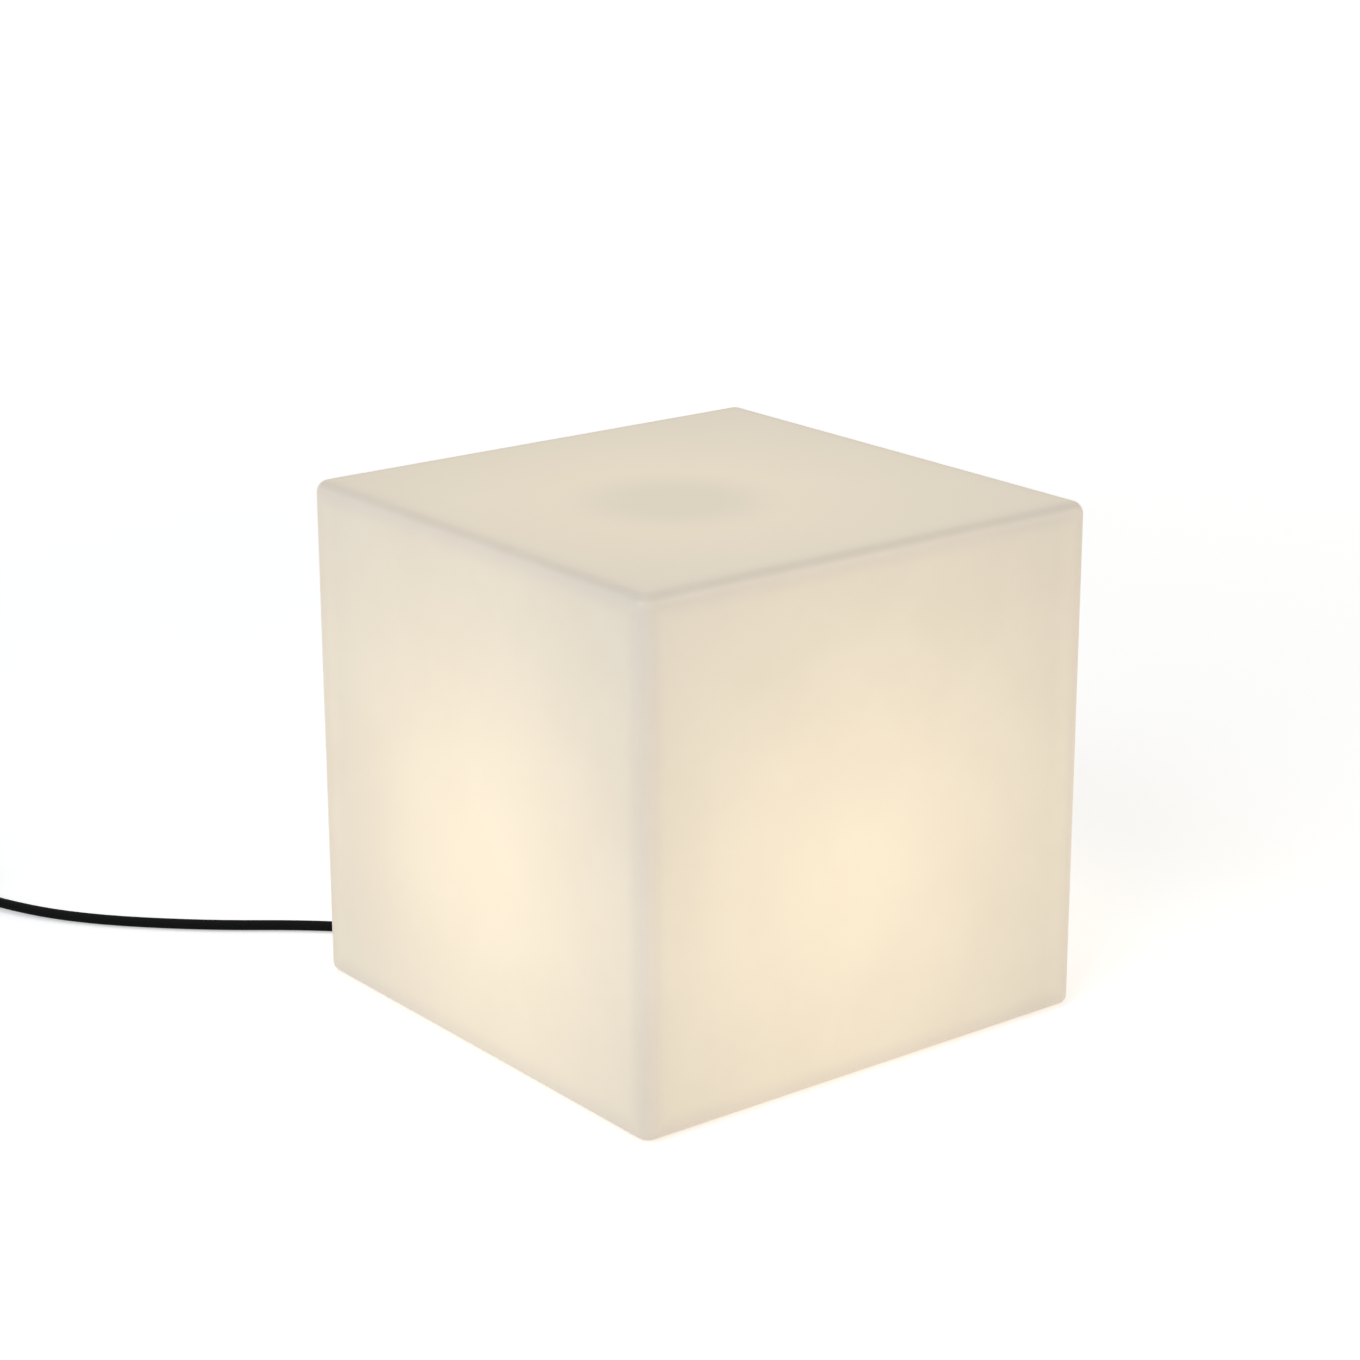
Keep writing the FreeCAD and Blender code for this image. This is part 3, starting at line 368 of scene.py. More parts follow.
def makePlugBody():
    low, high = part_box("plug_body")
    size = high - low
    middle = (low + high) / 2
    deselectAll()
    bpy.ops.mesh.primitive_cube_add(size=1, location=middle)
    plug = bpy.context.active_object
    plug.scale = size
    bpy.ops.object.transform_apply(location=False, rotation=False, scale=True)
    bpy.ops.object.mode_set(mode="EDIT")
    bpy.ops.mesh.select_all(action="SELECT")
    shoulder = middle.y + size.y * plugLook["shoulder"]
    bpy.ops.mesh.bisect(plane_co=(middle.x, shoulder, middle.z), plane_no=(0, 1, 0))
    selectWhere(plug, "FACE", lambda f: f.normal.y > plugLook["squareOn"])
    bpy.ops.transform.resize(value=(plugLook["endWidth"], 1, plugLook["endHeight"]))
    bpy.ops.object.mode_set(mode="OBJECT")
    applyModifier(
        plug, "BEVEL", width=plugLook["edge"], segments=plugLook["edgeSteps"], limit_method="ANGLE",
        angle_limit=math.radians(plugLook["edgeAngle"]))
    ribSize = (plugLook["ribDepth"], plugLook["ribWidth"], size.z * plugLook["ribHeight"])
    firstRib = makeRib(ribSize, plugLook["ribEdge"], plugLook["ribEdgeSteps"])
    places = [(k, side) for k in range(plugLook["ribs"]) for side in (-1, 1)]
    ribs = copiesOf(firstRib, len(places))
    for rib, (k, side) in zip(ribs, places):
        rib.location = (
            middle.x + side * (size.x / 2 - plugLook["ribInset"]),
            middle.y - size.y * plugLook["ribStart"] - k * size.y * plugLook["ribStep"],
            middle.z,
        )
    return finishPiece(joinPieces([plug, *ribs]), "plugBody", "base", "plug_rubber", "plug_body")


# the strain relief: a cone with every other ring drawn in
reliefLook = {
    "sides": 40,
    "rings": 15,
    "tipRadius": 0.004,
    "sideOn": 0.7,  # a face is on the side when its normal has less than this along the cone
    "land": 0.2,  # left at either edge of a groove, as a share of its ring
    "groove": 0.84,
    "edge": 0.0002,
    "edgeSteps": 2,
}


def makePlugRelief():
    low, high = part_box("plug_relief")
    middle = (low + high) / 2
    length = high.y - low.y
    deselectAll()
    bpy.ops.mesh.primitive_cone_add(
        vertices=reliefLook["sides"], radius1=(high.x - low.x) / 2, radius2=reliefLook["tipRadius"],
        depth=length, location=middle, rotation=(-math.pi / 2, 0, 0))
    relief = bpy.context.active_object
    bpy.ops.object.transform_apply(location=True, rotation=True, scale=True)
    step = length / reliefLook["rings"]
    bpy.ops.object.mode_set(mode="EDIT")
    for k in range(1, reliefLook["rings"]):
        bpy.ops.mesh.select_all(action="SELECT")
        bpy.ops.mesh.bisect(plane_co=(middle.x, low.y + step * k, middle.z), plane_no=(0, 1, 0))
    for k in range(2, reliefLook["rings"] - 1, 2):
        start = low.y + step * k
        selectWhere(
            relief, "FACE",
            lambda f: abs(f.normal.y) < reliefLook["sideOn"] and start < f.center.y < start + step)
        bpy.ops.mesh.inset(thickness=reliefLook["land"] * step, depth=0)
        bpy.ops.transform.resize(value=(reliefLook["groove"], 1, reliefLook["groove"]))
    bpy.ops.object.mode_set(mode="OBJECT")
    applyModifier(
        relief, "BEVEL", width=reliefLook["edge"], segments=reliefLook["edgeSteps"], limit_method="ANGLE")
    return finishPiece(relief, "plugRelief", "base", "plug_rubber", "plug_relief")


# the tie: a strap round one side of the coil, with a flap that lies on it
tieLook = {
    "thickness": 0.0009,
    "width": 0.012,
    "slack": 0.00015,
    "corners": 64,
    "angle": 250,  # where on the coil it sits
    "catch": 1.1,  # it goes round the cord points within so many half steps of its angle
    "flap": (15, 150),
    "flapLift": 1.05,  # in thicknesses
    "edge": 0.0002,
    "edgeSteps": 2,
}


def wrapRing(sections, distance, arc=None):
    # a strap pulled tight round the cord's sections: each corner lies on the section furthest out its way
    deselectAll()
    bpy.ops.mesh.primitive_cylinder_add(
        vertices=tieLook["corners"], radius=1, depth=tieLook["width"], end_fill_type="NOTHING",
        rotation=(math.pi / 2, 0, 0))
    ring = bpy.context.active_object
    bpy.ops.object.transform_apply(location=True, rotation=True, scale=True)
    loose = []
    for vertex in ring.data.vertices:
        way = Vector((vertex.co.x, 0, vertex.co.z)).normalized()
        furthest = max(sections, key=lambda s: s[0] * way.x + s[1] * way.z)
        vertex.co = Vector((furthest[0], vertex.co.y, furthest[1])) + way * distance
        turned = math.degrees(math.atan2(way.z, way.x))
        if arc and not arc[0] < turned < arc[1]:
            loose.append(vertex.index)
    if loose:
        selectWhere(ring, "VERT", lambda v: v.index in loose)
        bpy.ops.mesh.delete(type="VERT")
        bpy.ops.object.mode_set(mode="OBJECT")
    applyModifier(ring, "SOLIDIFY", thickness=tieLook["thickness"], offset=0)
    applyModifier(ring, "BEVEL", width=tieLook["edge"], segments=tieLook["edgeSteps"], limit_method="ANGLE")
    return ring


def makeCoilTie():
    centre = coilPlace()[0]
    centre.z = 0
    turnBy = math.radians(tieLook["angle"])
    catch = tieLook["catch"] * math.pi / cordLook["pointsPerTurn"]
    sections = []
    for point in coilPoints()[0]:
        flat = Matrix.Rotation(-turnBy, 3, "Z") @ (point - centre)
        if abs(math.atan2(flat.y, flat.x)) < catch:
            sections.append((Vector((flat.x, flat.y)).length / coilWiden, point.z))
    reach = cordLook["diameter"] / 2 + tieLook["thickness"] / 2 + tieLook["slack"]
    strap = wrapRing(sections, reach)
    flap = wrapRing(sections, reach + tieLook["thickness"] * tieLook["flapLift"], tieLook["flap"])
    tie = joinPieces([strap, flap])
    tie.rotation_euler = (0, 0, turnBy)
    tie.location = centre
    return finishPiece(tie, "coilTie", "base", "tie", "coil_tie")


plugBody = makePlugBody()
plugRelief = makePlugRelief()
coilTie = makeCoilTie()
print("plug, relief and tie made")


# tools for materials

def addNode(tree, kind, **settings):
    node = tree.nodes.new("ShaderNode" + kind)
    for key, value in settings.items():
        setattr(node, key, value)
    return node


def feed(tree, socket, value):
    if isinstance(value, bpy.types.NodeSocket):
        tree.links.new(value, socket)
    else:
        socket.default_value = value


def mathStep(tree, operation, first, second=0.0, clamp=False):
    node = addNode(tree, "Math", operation=operation, use_clamp=clamp)
    feed(tree, node.inputs[0], first)
    feed(tree, node.inputs[1], second)
    return node.outputs[0]


def vectorStep(tree, operation, first, second=None):
    node = addNode(tree, "VectorMath", operation=operation)
    feed(tree, node.inputs[0], first)
    if second is not None:
        feed(tree, node.inputs[1], second)
    return node.outputs["Value" if operation in ("LENGTH", "DISTANCE") else "Vector"]


def partsOf(tree, vector):
    split = addNode(tree, "SeparateXYZ")
    feed(tree, split.inputs[0], vector)
    return split.outputs


def mixColour(tree, factor, first, second, blend="MIX"):
    node = addNode(tree, "Mix", data_type="RGBA", blend_type=blend)
    feed(tree, node.inputs[0], factor)
    feed(tree, node.inputs[6], first)
    feed(tree, node.inputs[7], second)
    return node.outputs[2]


def ramp(tree, value, fromLow, fromHigh, toLow=0.0, toHigh=1.0):
    node = addNode(tree, "MapRange", interpolation_type="SMOOTHSTEP")
    feed(tree, node.inputs[0], value)
    for k, number in enumerate((fromLow, fromHigh, toLow, toHigh)):
        node.inputs[k + 1].default_value = number
    return node.outputs[0]


def noiseOf(tree, position, scale, detail, roughness):
    node = addNode(tree, "TexNoise")
    feed(tree, node.inputs["Vector"], position)
    feed(tree, node.inputs["Scale"], scale)
    node.inputs["Detail"].default_value = detail
    node.inputs["Roughness"].default_value = roughness
    return node.outputs["Fac"]


def newGroup(name, inputs, outputs):
    group = bpy.data.node_groups.new(name, "ShaderNodeTree")
    for label, kind, value in inputs:
        socket = group.interface.new_socket(label, in_out="INPUT", socket_type="NodeSocket" + kind)
        if value is not None:
            socket.default_value = value
    for label, kind in outputs:
        group.interface.new_socket(label, in_out="OUTPUT", socket_type="NodeSocket" + kind)
    return group, group.nodes.new("NodeGroupInput"), group.nodes.new("NodeGroupOutput")


# moulded finish, for plastic, rubber and glaze: colour drift, fine grain and pale dust on what faces up
# a noise is its scale, detail and roughness; a range is what it reads from and then what it gives
mouldedLook = {
    "patches": (14.0, 4.0, 0.6),
    "specks": (420.0, 3.0, 0.65),
    "grainDetail": 2.0,
    "grainRoughness": 0.6,
    "facingUp": (0.1, 0.95),
    "speckRange": (0.42, 0.7),
    "drift": (0.3, 0.7, 0.86, 1.1),
    "glossDrift": (0.25, 0.75, -0.06, 0.08),
    "dustColour": (0.42, 0.39, 0.34, 1),
    "dustGloss": 0.3,
    "bump": 0.5,
}


def makeMouldedFinish():
    group, given, result = newGroup("mouldedFinish", [
        ("Position", "Vector", None), ("Normal", "Vector", None), ("Tint", "Color", (0.5, 0.5, 0.5, 1)),
        ("Dust", "Float", 0.2), ("Grain", "Float", 900.0), ("Gloss", "Float", 0.5),
    ], [("Color", "Color"), ("Roughness", "Float"), ("Height", "Float")])
    place = given.outputs["Position"]
    patches = noiseOf(group, place, *mouldedLook["patches"])
    specks = noiseOf(group, place, *mouldedLook["specks"])
    grain = noiseOf(
        group, place, given.outputs["Grain"], mouldedLook["grainDetail"], mouldedLook["grainRoughness"])
    facingUp = ramp(group, partsOf(group, given.outputs["Normal"])[2], *mouldedLook["facingUp"])
    dusty = mathStep(group, "MULTIPLY", facingUp, ramp(group, specks, *mouldedLook["speckRange"]))
    dusty = mathStep(group, "MULTIPLY", dusty, given.outputs["Dust"], clamp=True)
    shaded = addNode(group, "VectorMath", operation="SCALE")
    feed(group, shaded.inputs[0], given.outputs["Tint"])
    feed(group, shaded.inputs["Scale"], ramp(group, patches, *mouldedLook["drift"]))
    colour = mixColour(group, dusty, shaded.outputs[0], mouldedLook["dustColour"])
    group.links.new(colour, result.inputs["Color"])
    gloss = mathStep(
        group, "ADD", given.outputs["Gloss"], ramp(group, patches, *mouldedLook["glossDrift"]))
    dustGloss = mathStep(group, "MULTIPLY", dusty, mouldedLook["dustGloss"])
    gloss = mathStep(group, "ADD", gloss, dustGloss, clamp=True)
    group.links.new(gloss, result.inputs["Roughness"])
    group.links.new(grain, result.inputs["Height"])
    return group


# metal finish: fine level streaks and a little tarnish
metalLook = {
    "stretch": (1.0, 1.0, 14.0),
    "streaks": (260.0, 2.0, 0.5),
    "patches": (60.0, 5.0, 0.62),
    "tarnished": (0.5, 0.78),
    "glossDrift": (0.3, 0.7, -0.06, 0.08),
    "tarnishGloss": 0.5,
    "bump": 0.3,
    "depth": 0.00004,
}


def makeMetalFinish():
    group, given, result = newGroup("metalFinish", [
        ("Position", "Vector", None), ("Tint", "Color", (0.7, 0.7, 0.7, 1)),
        ("Tarnish", "Color", (0.3, 0.25, 0.2, 1)), ("Worn", "Float", 0.25), ("Gloss", "Float", 0.3),
    ], [("Color", "Color"), ("Roughness", "Float"), ("Height", "Float")])
    place = given.outputs["Position"]
    stretch = addNode(group, "Mapping", vector_type="POINT")
    feed(group, stretch.inputs["Vector"], place)
    stretch.inputs["Scale"].default_value = metalLook["stretch"]
    streaks = noiseOf(group, stretch.outputs[0], *metalLook["streaks"])
    patches = noiseOf(group, place, *metalLook["patches"])
    tarnished = ramp(group, patches, *metalLook["tarnished"])
    aged = mathStep(group, "MULTIPLY", tarnished, given.outputs["Worn"], clamp=True)
    colour = mixColour(group, aged, given.outputs["Tint"], given.outputs["Tarnish"])
    group.links.new(colour, result.inputs["Color"])
    gloss = mathStep(group, "ADD", given.outputs["Gloss"], ramp(group, streaks, *metalLook["glossDrift"]))
    tarnishGloss = mathStep(group, "MULTIPLY", aged, metalLook["tarnishGloss"])
    gloss = mathStep(group, "ADD", gloss, tarnishGloss, clamp=True)
    group.links.new(gloss, result.inputs["Roughness"])
    group.links.new(streaks, result.inputs["Height"])
    return group


# light that the wall passes on: strongest beside the bulb, dim above it, where its own cap-to-tip axis
# gives little light
glowLook = {
    "lamp": (-0.0169, -0.006, 0.118),
    "sideRim": (0.175, 0.162, 0.140, 1),
    "sideCentre": (0.647, 0.518, 0.337, 1),
    "topRim": (0.139, 0.118, 0.091, 1),
    "topCentre": (0.374, 0.291, 0.168, 1),
    "sideFall": 1.3,
    "topFall": 1.0,
    "topFacing": (0.35, 0.9),
    "spotPlace": (-0.0229, -0.0105, 0.290),  # the darker disc on the top
    "spotInner": 0.018,
    "spotOuter": 0.070,
    "spotDepth": 0.21,
    "edgeReach": 0.016,
    "edgeShade": (0.84, 0.82, 0.89, 1),
    "half": (0.150, 0.150, 0.145),  # of the cube's size
}


def makeLampGlow():
    group, given, result = newGroup("lampGlow", [
        ("Position", "Vector", None), ("Normal", "Vector", None),
        ("SideRim", "Color", glowLook["sideRim"]), ("SideCentre", "Color", glowLook["sideCentre"]),
        ("TopRim", "Color", glowLook["topRim"]), ("TopCentre", "Color", glowLook["topCentre"]),
    ], [("Glow", "Color")])
    place = given.outputs["Position"]
    away = vectorStep(group, "SUBTRACT", place, glowLook["lamp"])
    distance = vectorStep(group, "LENGTH", away)
    across = [mathStep(group, "ABSOLUTE", part) for part in partsOf(group, away)]
    sideways = mathStep(group, "MAXIMUM", across[0], across[1])
    sideShare = mathStep(group, "DIVIDE", sideways, distance)
    sideShare = mathStep(group, "POWER", sideShare, glowLook["sideFall"], clamp=True)
    topShare = mathStep(group, "DIVIDE", across[2], distance)
    topShare = mathStep(group, "POWER", topShare, glowLook["topFall"], clamp=True)
    side = mixColour(group, sideShare, given.outputs["SideRim"], given.outputs["SideCentre"])
    top = mixColour(group, topShare, given.outputs["TopRim"], given.outputs["TopCentre"])
    fromSpot = vectorStep(group, "DISTANCE", place, glowLook["spotPlace"])
    spot = ramp(group, fromSpot, glowLook["spotInner"], glowLook["spotOuter"], 1.0, 0.0)
    spot = mathStep(group, "MULTIPLY", spot, glowLook["spotDepth"])
    top = mixColour(group, spot, top, black)
    upper = ramp(group, partsOf(group, given.outputs["Normal"])[2], *glowLook["topFacing"])
    glow = mixColour(group, upper, side, top)
    # less light reaches the corners: the second nearest face says how near the edge is
    fromMiddle = vectorStep(group, "SUBTRACT", place, (0, 0, glowLook["half"][2]))
    depths = []
    for half, part in zip(glowLook["half"], partsOf(group, fromMiddle)):
        depths.append(mathStep(group, "SUBTRACT", half, mathStep(group, "ABSOLUTE", part)))
    lesser = mathStep(group, "MINIMUM", depths[0], depths[1])
    greater = mathStep(group, "MAXIMUM", depths[0], depths[1])
    toEdge = mathStep(group, "MAXIMUM", lesser, mathStep(group, "MINIMUM", greater, depths[2]))
    nearEdge = ramp(group, toEdge, 0.0, glowLook["edgeReach"], 1.0, 0.0)
    shade = mixColour(group, nearEdge, white, glowLook["edgeShade"])
    group.links.new(mixColour(group, 1.0, glow, shade, "MULTIPLY"), result.inputs["Glow"])
    return group


mouldedFinish = makeMouldedFinish()
metalFinish = makeMetalFinish()
lampGlow = makeLampGlow()
print("shared finishes made")


def startMaterial(name):
    material = bpy.data.materials.new(name)
    material.use_nodes = True
    tree = material.node_tree
    return material, tree, tree.nodes["Principled BSDF"], addNode(tree, "TexCoord").outputs["Object"]


def surfaceNormal(tree):
    return addNode(tree, "NewGeometry").outputs["Normal"]


def placeGroup(tree, group, **values):
    node = tree.nodes.new("ShaderNodeGroup")
    node.node_tree = group
    for label, value in values.items():
        feed(tree, node.inputs[label], value)
    return node


def roughen(tree, shader, height, strength, distance):
    bump = addNode(tree, "Bump")
    bump.inputs["Strength"].default_value = strength
    bump.inputs["Distance"].default_value = distance
    feed(tree, bump.inputs["Height"], height)
    feed(tree, shader.inputs["Normal"], bump.outputs["Normal"])


# plastic, rubber, glaze and coated board; depth is that of the grain
mouldedKinds = {
    "cordRubber": {
        "tint": (0.003, 0.003, 0.003), "gloss": 0.7, "grain": 1600.0, "depth": 0.00006, "dust": 0.003,
        "specular": 0.08},
    "plugRubber": {
        "tint": (0.014, 0.014, 0.015), "gloss": 0.55, "grain": 1500.0, "depth": 0.00005, "dust": 0.02,
        "specular": 0.25},
    "wovenTie": {
        "tint": (0.020, 0.020, 0.021), "gloss": 0.85, "grain": 2600.0, "depth": 0.0003, "dust": 0.05,
        "sheen": 0.1, "specular": 0.2},
    "blackRubber": {
        "tint": (0.018, 0.018, 0.018), "gloss": 0.6, "grain": 1400.0, "depth": 0.0001, "dust": 0.05,
        "specular": 0.35},
    "footRubber": {
        "tint": (0.10, 0.10, 0.10), "gloss": 0.65, "grain": 1200.0, "depth": 0.0001, "dust": 0.2},
    "blackPlastic": {
        "tint": (0.028, 0.028, 0.030), "gloss": 0.48, "grain": 1100.0, "depth": 0.00012, "dust": 0.18},
    "holderPlastic": {
        "tint": (0.035, 0.035, 0.037), "gloss": 0.32, "grain": 900.0, "depth": 0.00006, "dust": 0.12},
    "brownSleeve": {
        "tint": (0.16, 0.065, 0.030), "gloss": 0.35, "grain": 1500.0, "depth": 0.00005, "dust": 0.05},
    "blueSleeve": {
        "tint": (0.03, 0.10, 0.42), "gloss": 0.35, "grain": 1500.0, "depth": 0.00005, "dust": 0.05},
    "glazedCeramic": {
        "tint": (0.82, 0.80, 0.74), "gloss": 0.16, "grain": 300.0, "depth": 0.00003, "dust": 0.05},
    "capGlass": {
        "tint": (0.015, 0.014, 0.016), "gloss": 0.12, "grain": 300.0, "depth": 0.00002, "dust": 0.02},
    "circuitBoard": {
        "tint": (0.03, 0.16, 0.07), "gloss": 0.35, "grain": 1300.0, "depth": 0.00008, "dust": 0.03},
}


def moulded(name, tint, gloss, grain, depth, dust, sheen=0.0, specular=0.5):
    material, tree, shader, place = startMaterial(name)
    finish = placeGroup(
        tree, mouldedFinish, Position=place, Normal=surfaceNormal(tree), Tint=(*tint, 1), Dust=dust,
        Grain=grain, Gloss=gloss)
    feed(tree, shader.inputs["Base Color"], finish.outputs["Color"])
    feed(tree, shader.inputs["Roughness"], finish.outputs["Roughness"])
    shader.inputs["Sheen Weight"].default_value = sheen
    shader.inputs["Specular IOR Level"].default_value = specular
    roughen(tree, shader, finish.outputs["Height"], mouldedLook["bump"], depth)
    return material


metalKinds = {
    "zincSteel": {"tint": (0.62, 0.63, 0.65), "tarnish": (0.36, 0.34, 0.30), "gloss": 0.32, "worn": 0.3},
    "rawBrass": {"tint": (0.78, 0.57, 0.24), "tarnish": (0.36, 0.24, 0.10), "gloss": 0.28, "worn": 0.35},
    "nickelPlate": {"tint": (0.76, 0.75, 0.72), "tarnish": (0.45, 0.42, 0.36), "gloss": 0.18, "worn": 0.15},
    "solder": {"tint": (0.66, 0.66, 0.67), "tarnish": (0.4, 0.4, 0.4), "gloss": 0.35, "worn": 0.4},
}


def metal(name, tint, tarnish, gloss, worn):
    material, tree, shader, place = startMaterial(name)
    finish = placeGroup(
        tree, metalFinish, Position=place, Tint=(*tint, 1), Tarnish=(*tarnish, 1), Worn=worn, Gloss=gloss)
    feed(tree, shader.inputs["Base Color"], finish.outputs["Color"])
    feed(tree, shader.inputs["Roughness"], finish.outputs["Roughness"])
    shader.inputs["Metallic"].default_value = 1.0
    roughen(tree, shader, finish.outputs["Height"], metalLook["bump"], metalLook["depth"])
    return material


glassLook = {"haze": (55.0, 3.0, 0.6), "hazeRange": (0.3, 0.8), "hazeGloss": 0.05, "refraction": 1.5}
glassKinds = {
    "bulbGlass": {"tint": (1.0, 0.99, 0.97), "gloss": 0.03},
    "stemGlass": {"tint": (0.97, 0.98, 0.98), "gloss": 0.06},
}


def glass(name, tint, gloss):
    material, tree, shader, place = startMaterial(name)
    haze = noiseOf(tree, place, *glassLook["haze"])
    hazy = ramp(tree, haze, *glassLook["hazeRange"], gloss, gloss + glassLook["hazeGloss"])
    feed(tree, shader.inputs["Roughness"], hazy)
    shader.inputs["Base Color"].default_value = (*tint, 1)
    shader.inputs["Transmission Weight"].default_value = 1.0
    shader.inputs["IOR"].default_value = glassLook["refraction"]
    return material


# the cube's milky wall with the bulb's light in it, a fine tumbled grain and faint colour drift
shellLook = {
    "tint": (0.42, 0.41, 0.385),
    "gloss": 0.42,
    "grain": 520.0,
    "depth": 0.00012,
    "dust": 0.0,
    "drift": 0.35,  # share of the moulded finish's own drift
    "glow": 1.0,
    "specular": 0.3,
    "bump": 0.25,
}


def glowingShell():
    material, tree, shader, place = startMaterial("glowingShell")
    normal = surfaceNormal(tree)
    tint = (*shellLook["tint"], 1)
    finish = placeGroup(
        tree, mouldedFinish, Position=place, Normal=normal, Tint=tint, Dust=shellLook["dust"],
        Grain=shellLook["grain"], Gloss=shellLook["gloss"])
    quiet = mixColour(tree, shellLook["drift"], tint, finish.outputs["Color"])
    feed(tree, shader.inputs["Base Color"], quiet)
    feed(tree, shader.inputs["Roughness"], finish.outputs["Roughness"])
    glow = placeGroup(tree, lampGlow, Position=place, Normal=normal)
    feed(tree, shader.inputs["Emission Color"], glow.outputs["Glow"])
    shader.inputs["Emission Strength"].default_value = shellLook["glow"]
    shader.inputs["Specular IOR Level"].default_value = shellLook["specular"]
    roughen(tree, shader, finish.outputs["Height"], shellLook["bump"], shellLook["depth"])
    return material


# filaments: a yellow coating, lit, in slightly uneven bands
filamentLook = {
    "bands": (700.0, 2.0, 0.5),
    "coating": ((0.30, 0.22, 0.07, 1), (0.32, 0.26, 0.12, 1)),
    "light": ((1.0, 0.66, 0.27, 1), (1.0, 0.78, 0.42, 1)),
    "strength": 1.0,
    "gloss": 0.6,
}


def litFilament():
    material, tree, shader, place = startMaterial("litFilament")
    bands = noiseOf(tree, place, *filamentLook["bands"])
    feed(tree, shader.inputs["Base Color"], mixColour(tree, bands, *filamentLook["coating"]))
    feed(tree, shader.inputs["Emission Color"], mixColour(tree, bands, *filamentLook["light"]))
    shader.inputs["Emission Strength"].default_value = filamentLook["strength"]
    shader.inputs["Roughness"].default_value = filamentLook["gloss"]
    return material


# which material each slot of the frame gets
slotFinish = {
    "shell": "glowingShell",
    "foot_rubber": "footRubber",
    "brass": "rawBrass",
    "base_plastic": "blackPlastic",
    "gasket": "blackRubber",
    "steel": "zincSteel",
    "holder_plastic": "holderPlastic",
    "ceramic": "glazedCeramic",
    "gland_plastic": "blackPlastic",
    "wire_brown": "brownSleeve",
    "wire_blue": "blueSleeve",
    "cord_rubber": "cordRubber",
    "tie": "wovenTie",
    "plug_rubber": "plugRubber",
    "pin_metal": "nickelPlate",
    "bulb_glass": "bulbGlass",
    "stem_glass": "stemGlass",
    "filament": "litFilament",
    "lead_metal": "zincSteel",
    "cap_metal": "nickelPlate",
    "cap_glass": "capGlass",
    "solder": "solder",
    "board": "circuitBoard",
}


def makeFinishes():
    finishes = {"glowingShell": glowingShell(), "litFilament": litFilament()}
    for make, kinds in ((moulded, mouldedKinds), (metal, metalKinds), (glass, glassKinds)):
        for name, look in kinds.items():
            finishes[name] = make(name, **look)
    return finishes


def dressPieces():
    finishes = makeFinishes()
    slots = {part["node"]: part["material_slot"] for part in frame["record"]["subparts"]}
    dressed = [(thing, slots[name]) for name, thing in nodes.items()]
    dressed += [
        (cord, "cord_rubber"), (plugBody, "plug_rubber"), (plugRelief, "plug_rubber"), (coilTie, "tie"),
        (barrelRibs, "holder_plastic"),
    ]
    for thing, slotName in dressed:
        thing.data.materials.clear()
        thing.data.materials.append(finishes[slotFinish[slotName]])


dressPieces()
print("materials placed")


# floor, backdrop light and lamps
stageLook = {
    "floorSize": 12.0,
    "floorLevel": -0.0003,
    "floorColour": (0.86, 0.86, 0.86, 1),
    "floorLift": (0.40, 0.80),
    "liftReach": (0.7, 3.0),
    "ambient": 0.34,
    "backdrop": 1.0,
    "aim": (0, 0, 0.14),
    "lamps": (
        ("leftSoft", (-2.6, -0.9, 1.9), 2.4, 46.0, (0.84, 0.93, 1.0)),
        ("rightSoft", (1.4, -2.8, 1.7), 2.4, 24.0, (1.0, 0.90, 0.72)),
        ("topSoft", (0.3, 0.6, 3.0), 2.6, 18.0, (1.0, 1.0, 1.0)),
    ),
}


def seenRays(tree):
    # 1 for what the camera sees, straight or by way of gloss or glass, and 0 for light on the object
    rays = addNode(tree, "LightPath")
    seen = mathStep(tree, "MAXIMUM", rays.outputs["Is Camera Ray"], rays.outputs["Is Glossy Ray"])
    return mathStep(tree, "MAXIMUM", seen, rays.outputs["Is Transmission Ray"])


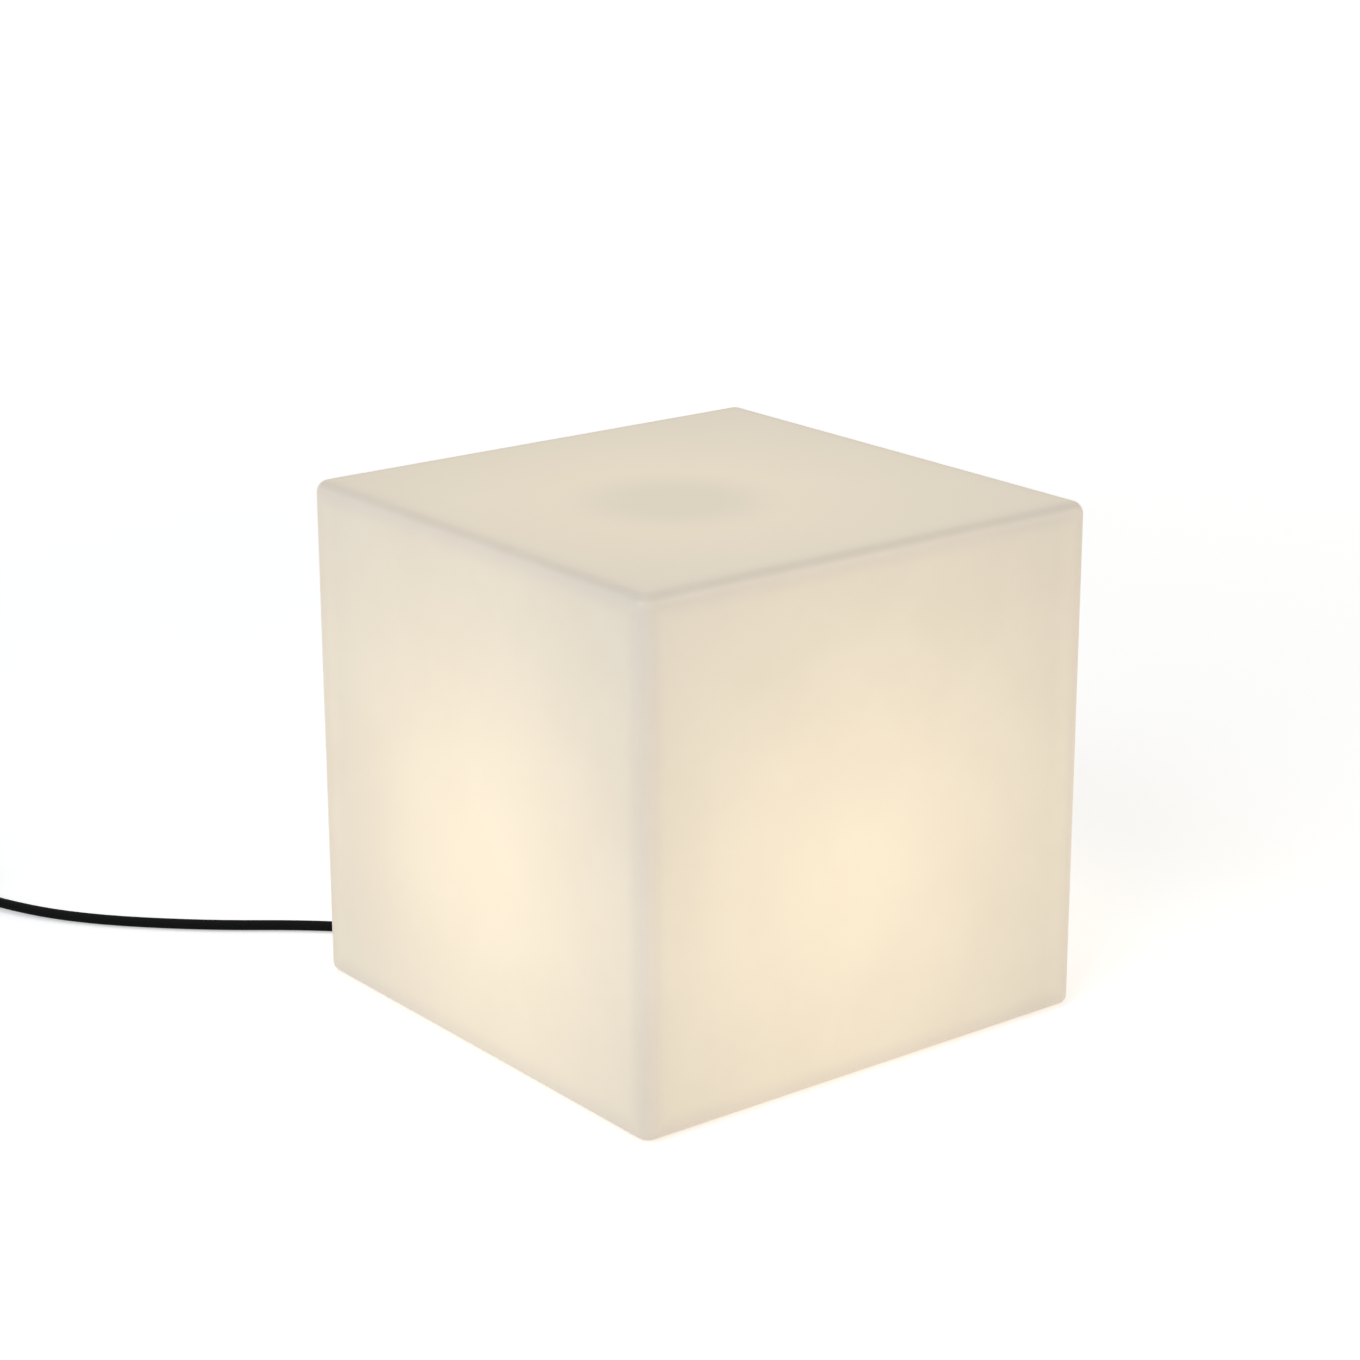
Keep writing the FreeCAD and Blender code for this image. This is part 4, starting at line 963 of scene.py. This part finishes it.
def floorMaterial():
    # lifted towards white further out, and see-through from below
    material = bpy.data.materials.new("stageFloor")
    material.use_nodes = True
    tree = material.node_tree
    tree.nodes.clear()
    output = addNode(tree, "OutputMaterial")
    matt = addNode(tree, "BsdfDiffuse")
    matt.inputs["Color"].default_value = stageLook["floorColour"]
    lift = addNode(tree, "Emission")
    lift.inputs["Color"].default_value = white
    place = addNode(tree, "TexCoord")
    away = vectorStep(tree, "LENGTH", place.outputs["Object"])
    needed = ramp(tree, away, *stageLook["liftReach"], *stageLook["floorLift"])
    feed(tree, lift.inputs["Strength"], mathStep(tree, "MULTIPLY", seenRays(tree), needed))
    both = addNode(tree, "AddShader")
    tree.links.new(matt.outputs[0], both.inputs[0])
    tree.links.new(lift.outputs[0], both.inputs[1])
    clear = addNode(tree, "BsdfTransparent")
    side = addNode(tree, "NewGeometry")
    choose = addNode(tree, "MixShader")
    tree.links.new(side.outputs["Backfacing"], choose.inputs[0])
    tree.links.new(both.outputs[0], choose.inputs[1])
    tree.links.new(clear.outputs[0], choose.inputs[2])
    tree.links.new(choose.outputs[0], output.inputs["Surface"])
    return material


def makeFloor():
    deselectAll()
    bpy.ops.mesh.primitive_plane_add(size=stageLook["floorSize"], location=(0, 0, stageLook["floorLevel"]))
    floor = bpy.context.active_object
    floor.name = "stageFloor"
    floor.data.materials.append(floorMaterial())


def makeWorld():
    world = bpy.data.worlds.new("plainRoom")
    scene.world = world
    world.use_nodes = True
    tree = world.node_tree
    tree.nodes.clear()
    output = addNode(tree, "OutputWorld")
    background = addNode(tree, "Background")
    background.inputs["Color"].default_value = white
    strength = addNode(tree, "Mix", data_type="FLOAT")
    feed(tree, strength.inputs[0], seenRays(tree))
    strength.inputs[2].default_value = stageLook["ambient"]
    strength.inputs[3].default_value = stageLook["backdrop"]
    feed(tree, background.inputs["Strength"], strength.outputs[0])
    tree.links.new(background.outputs[0], output.inputs["Surface"])


def makeLamps():
    for name, place, size, power, tint in stageLook["lamps"]:
        data = bpy.data.lights.new(name, "AREA")
        data.shape = "DISK"
        data.size = size
        data.energy = power
        data.color = tint
        lamp = bpy.data.objects.new(name, data)
        scene.collection.objects.link(lamp)
        lamp.location = place
        aim = Vector(stageLook["aim"]) - Vector(place)
        lamp.rotation_euler = aim.to_track_quat("-Z", "Y").to_euler()


makeFloor()
makeWorld()
makeLamps()
print("stage lit")
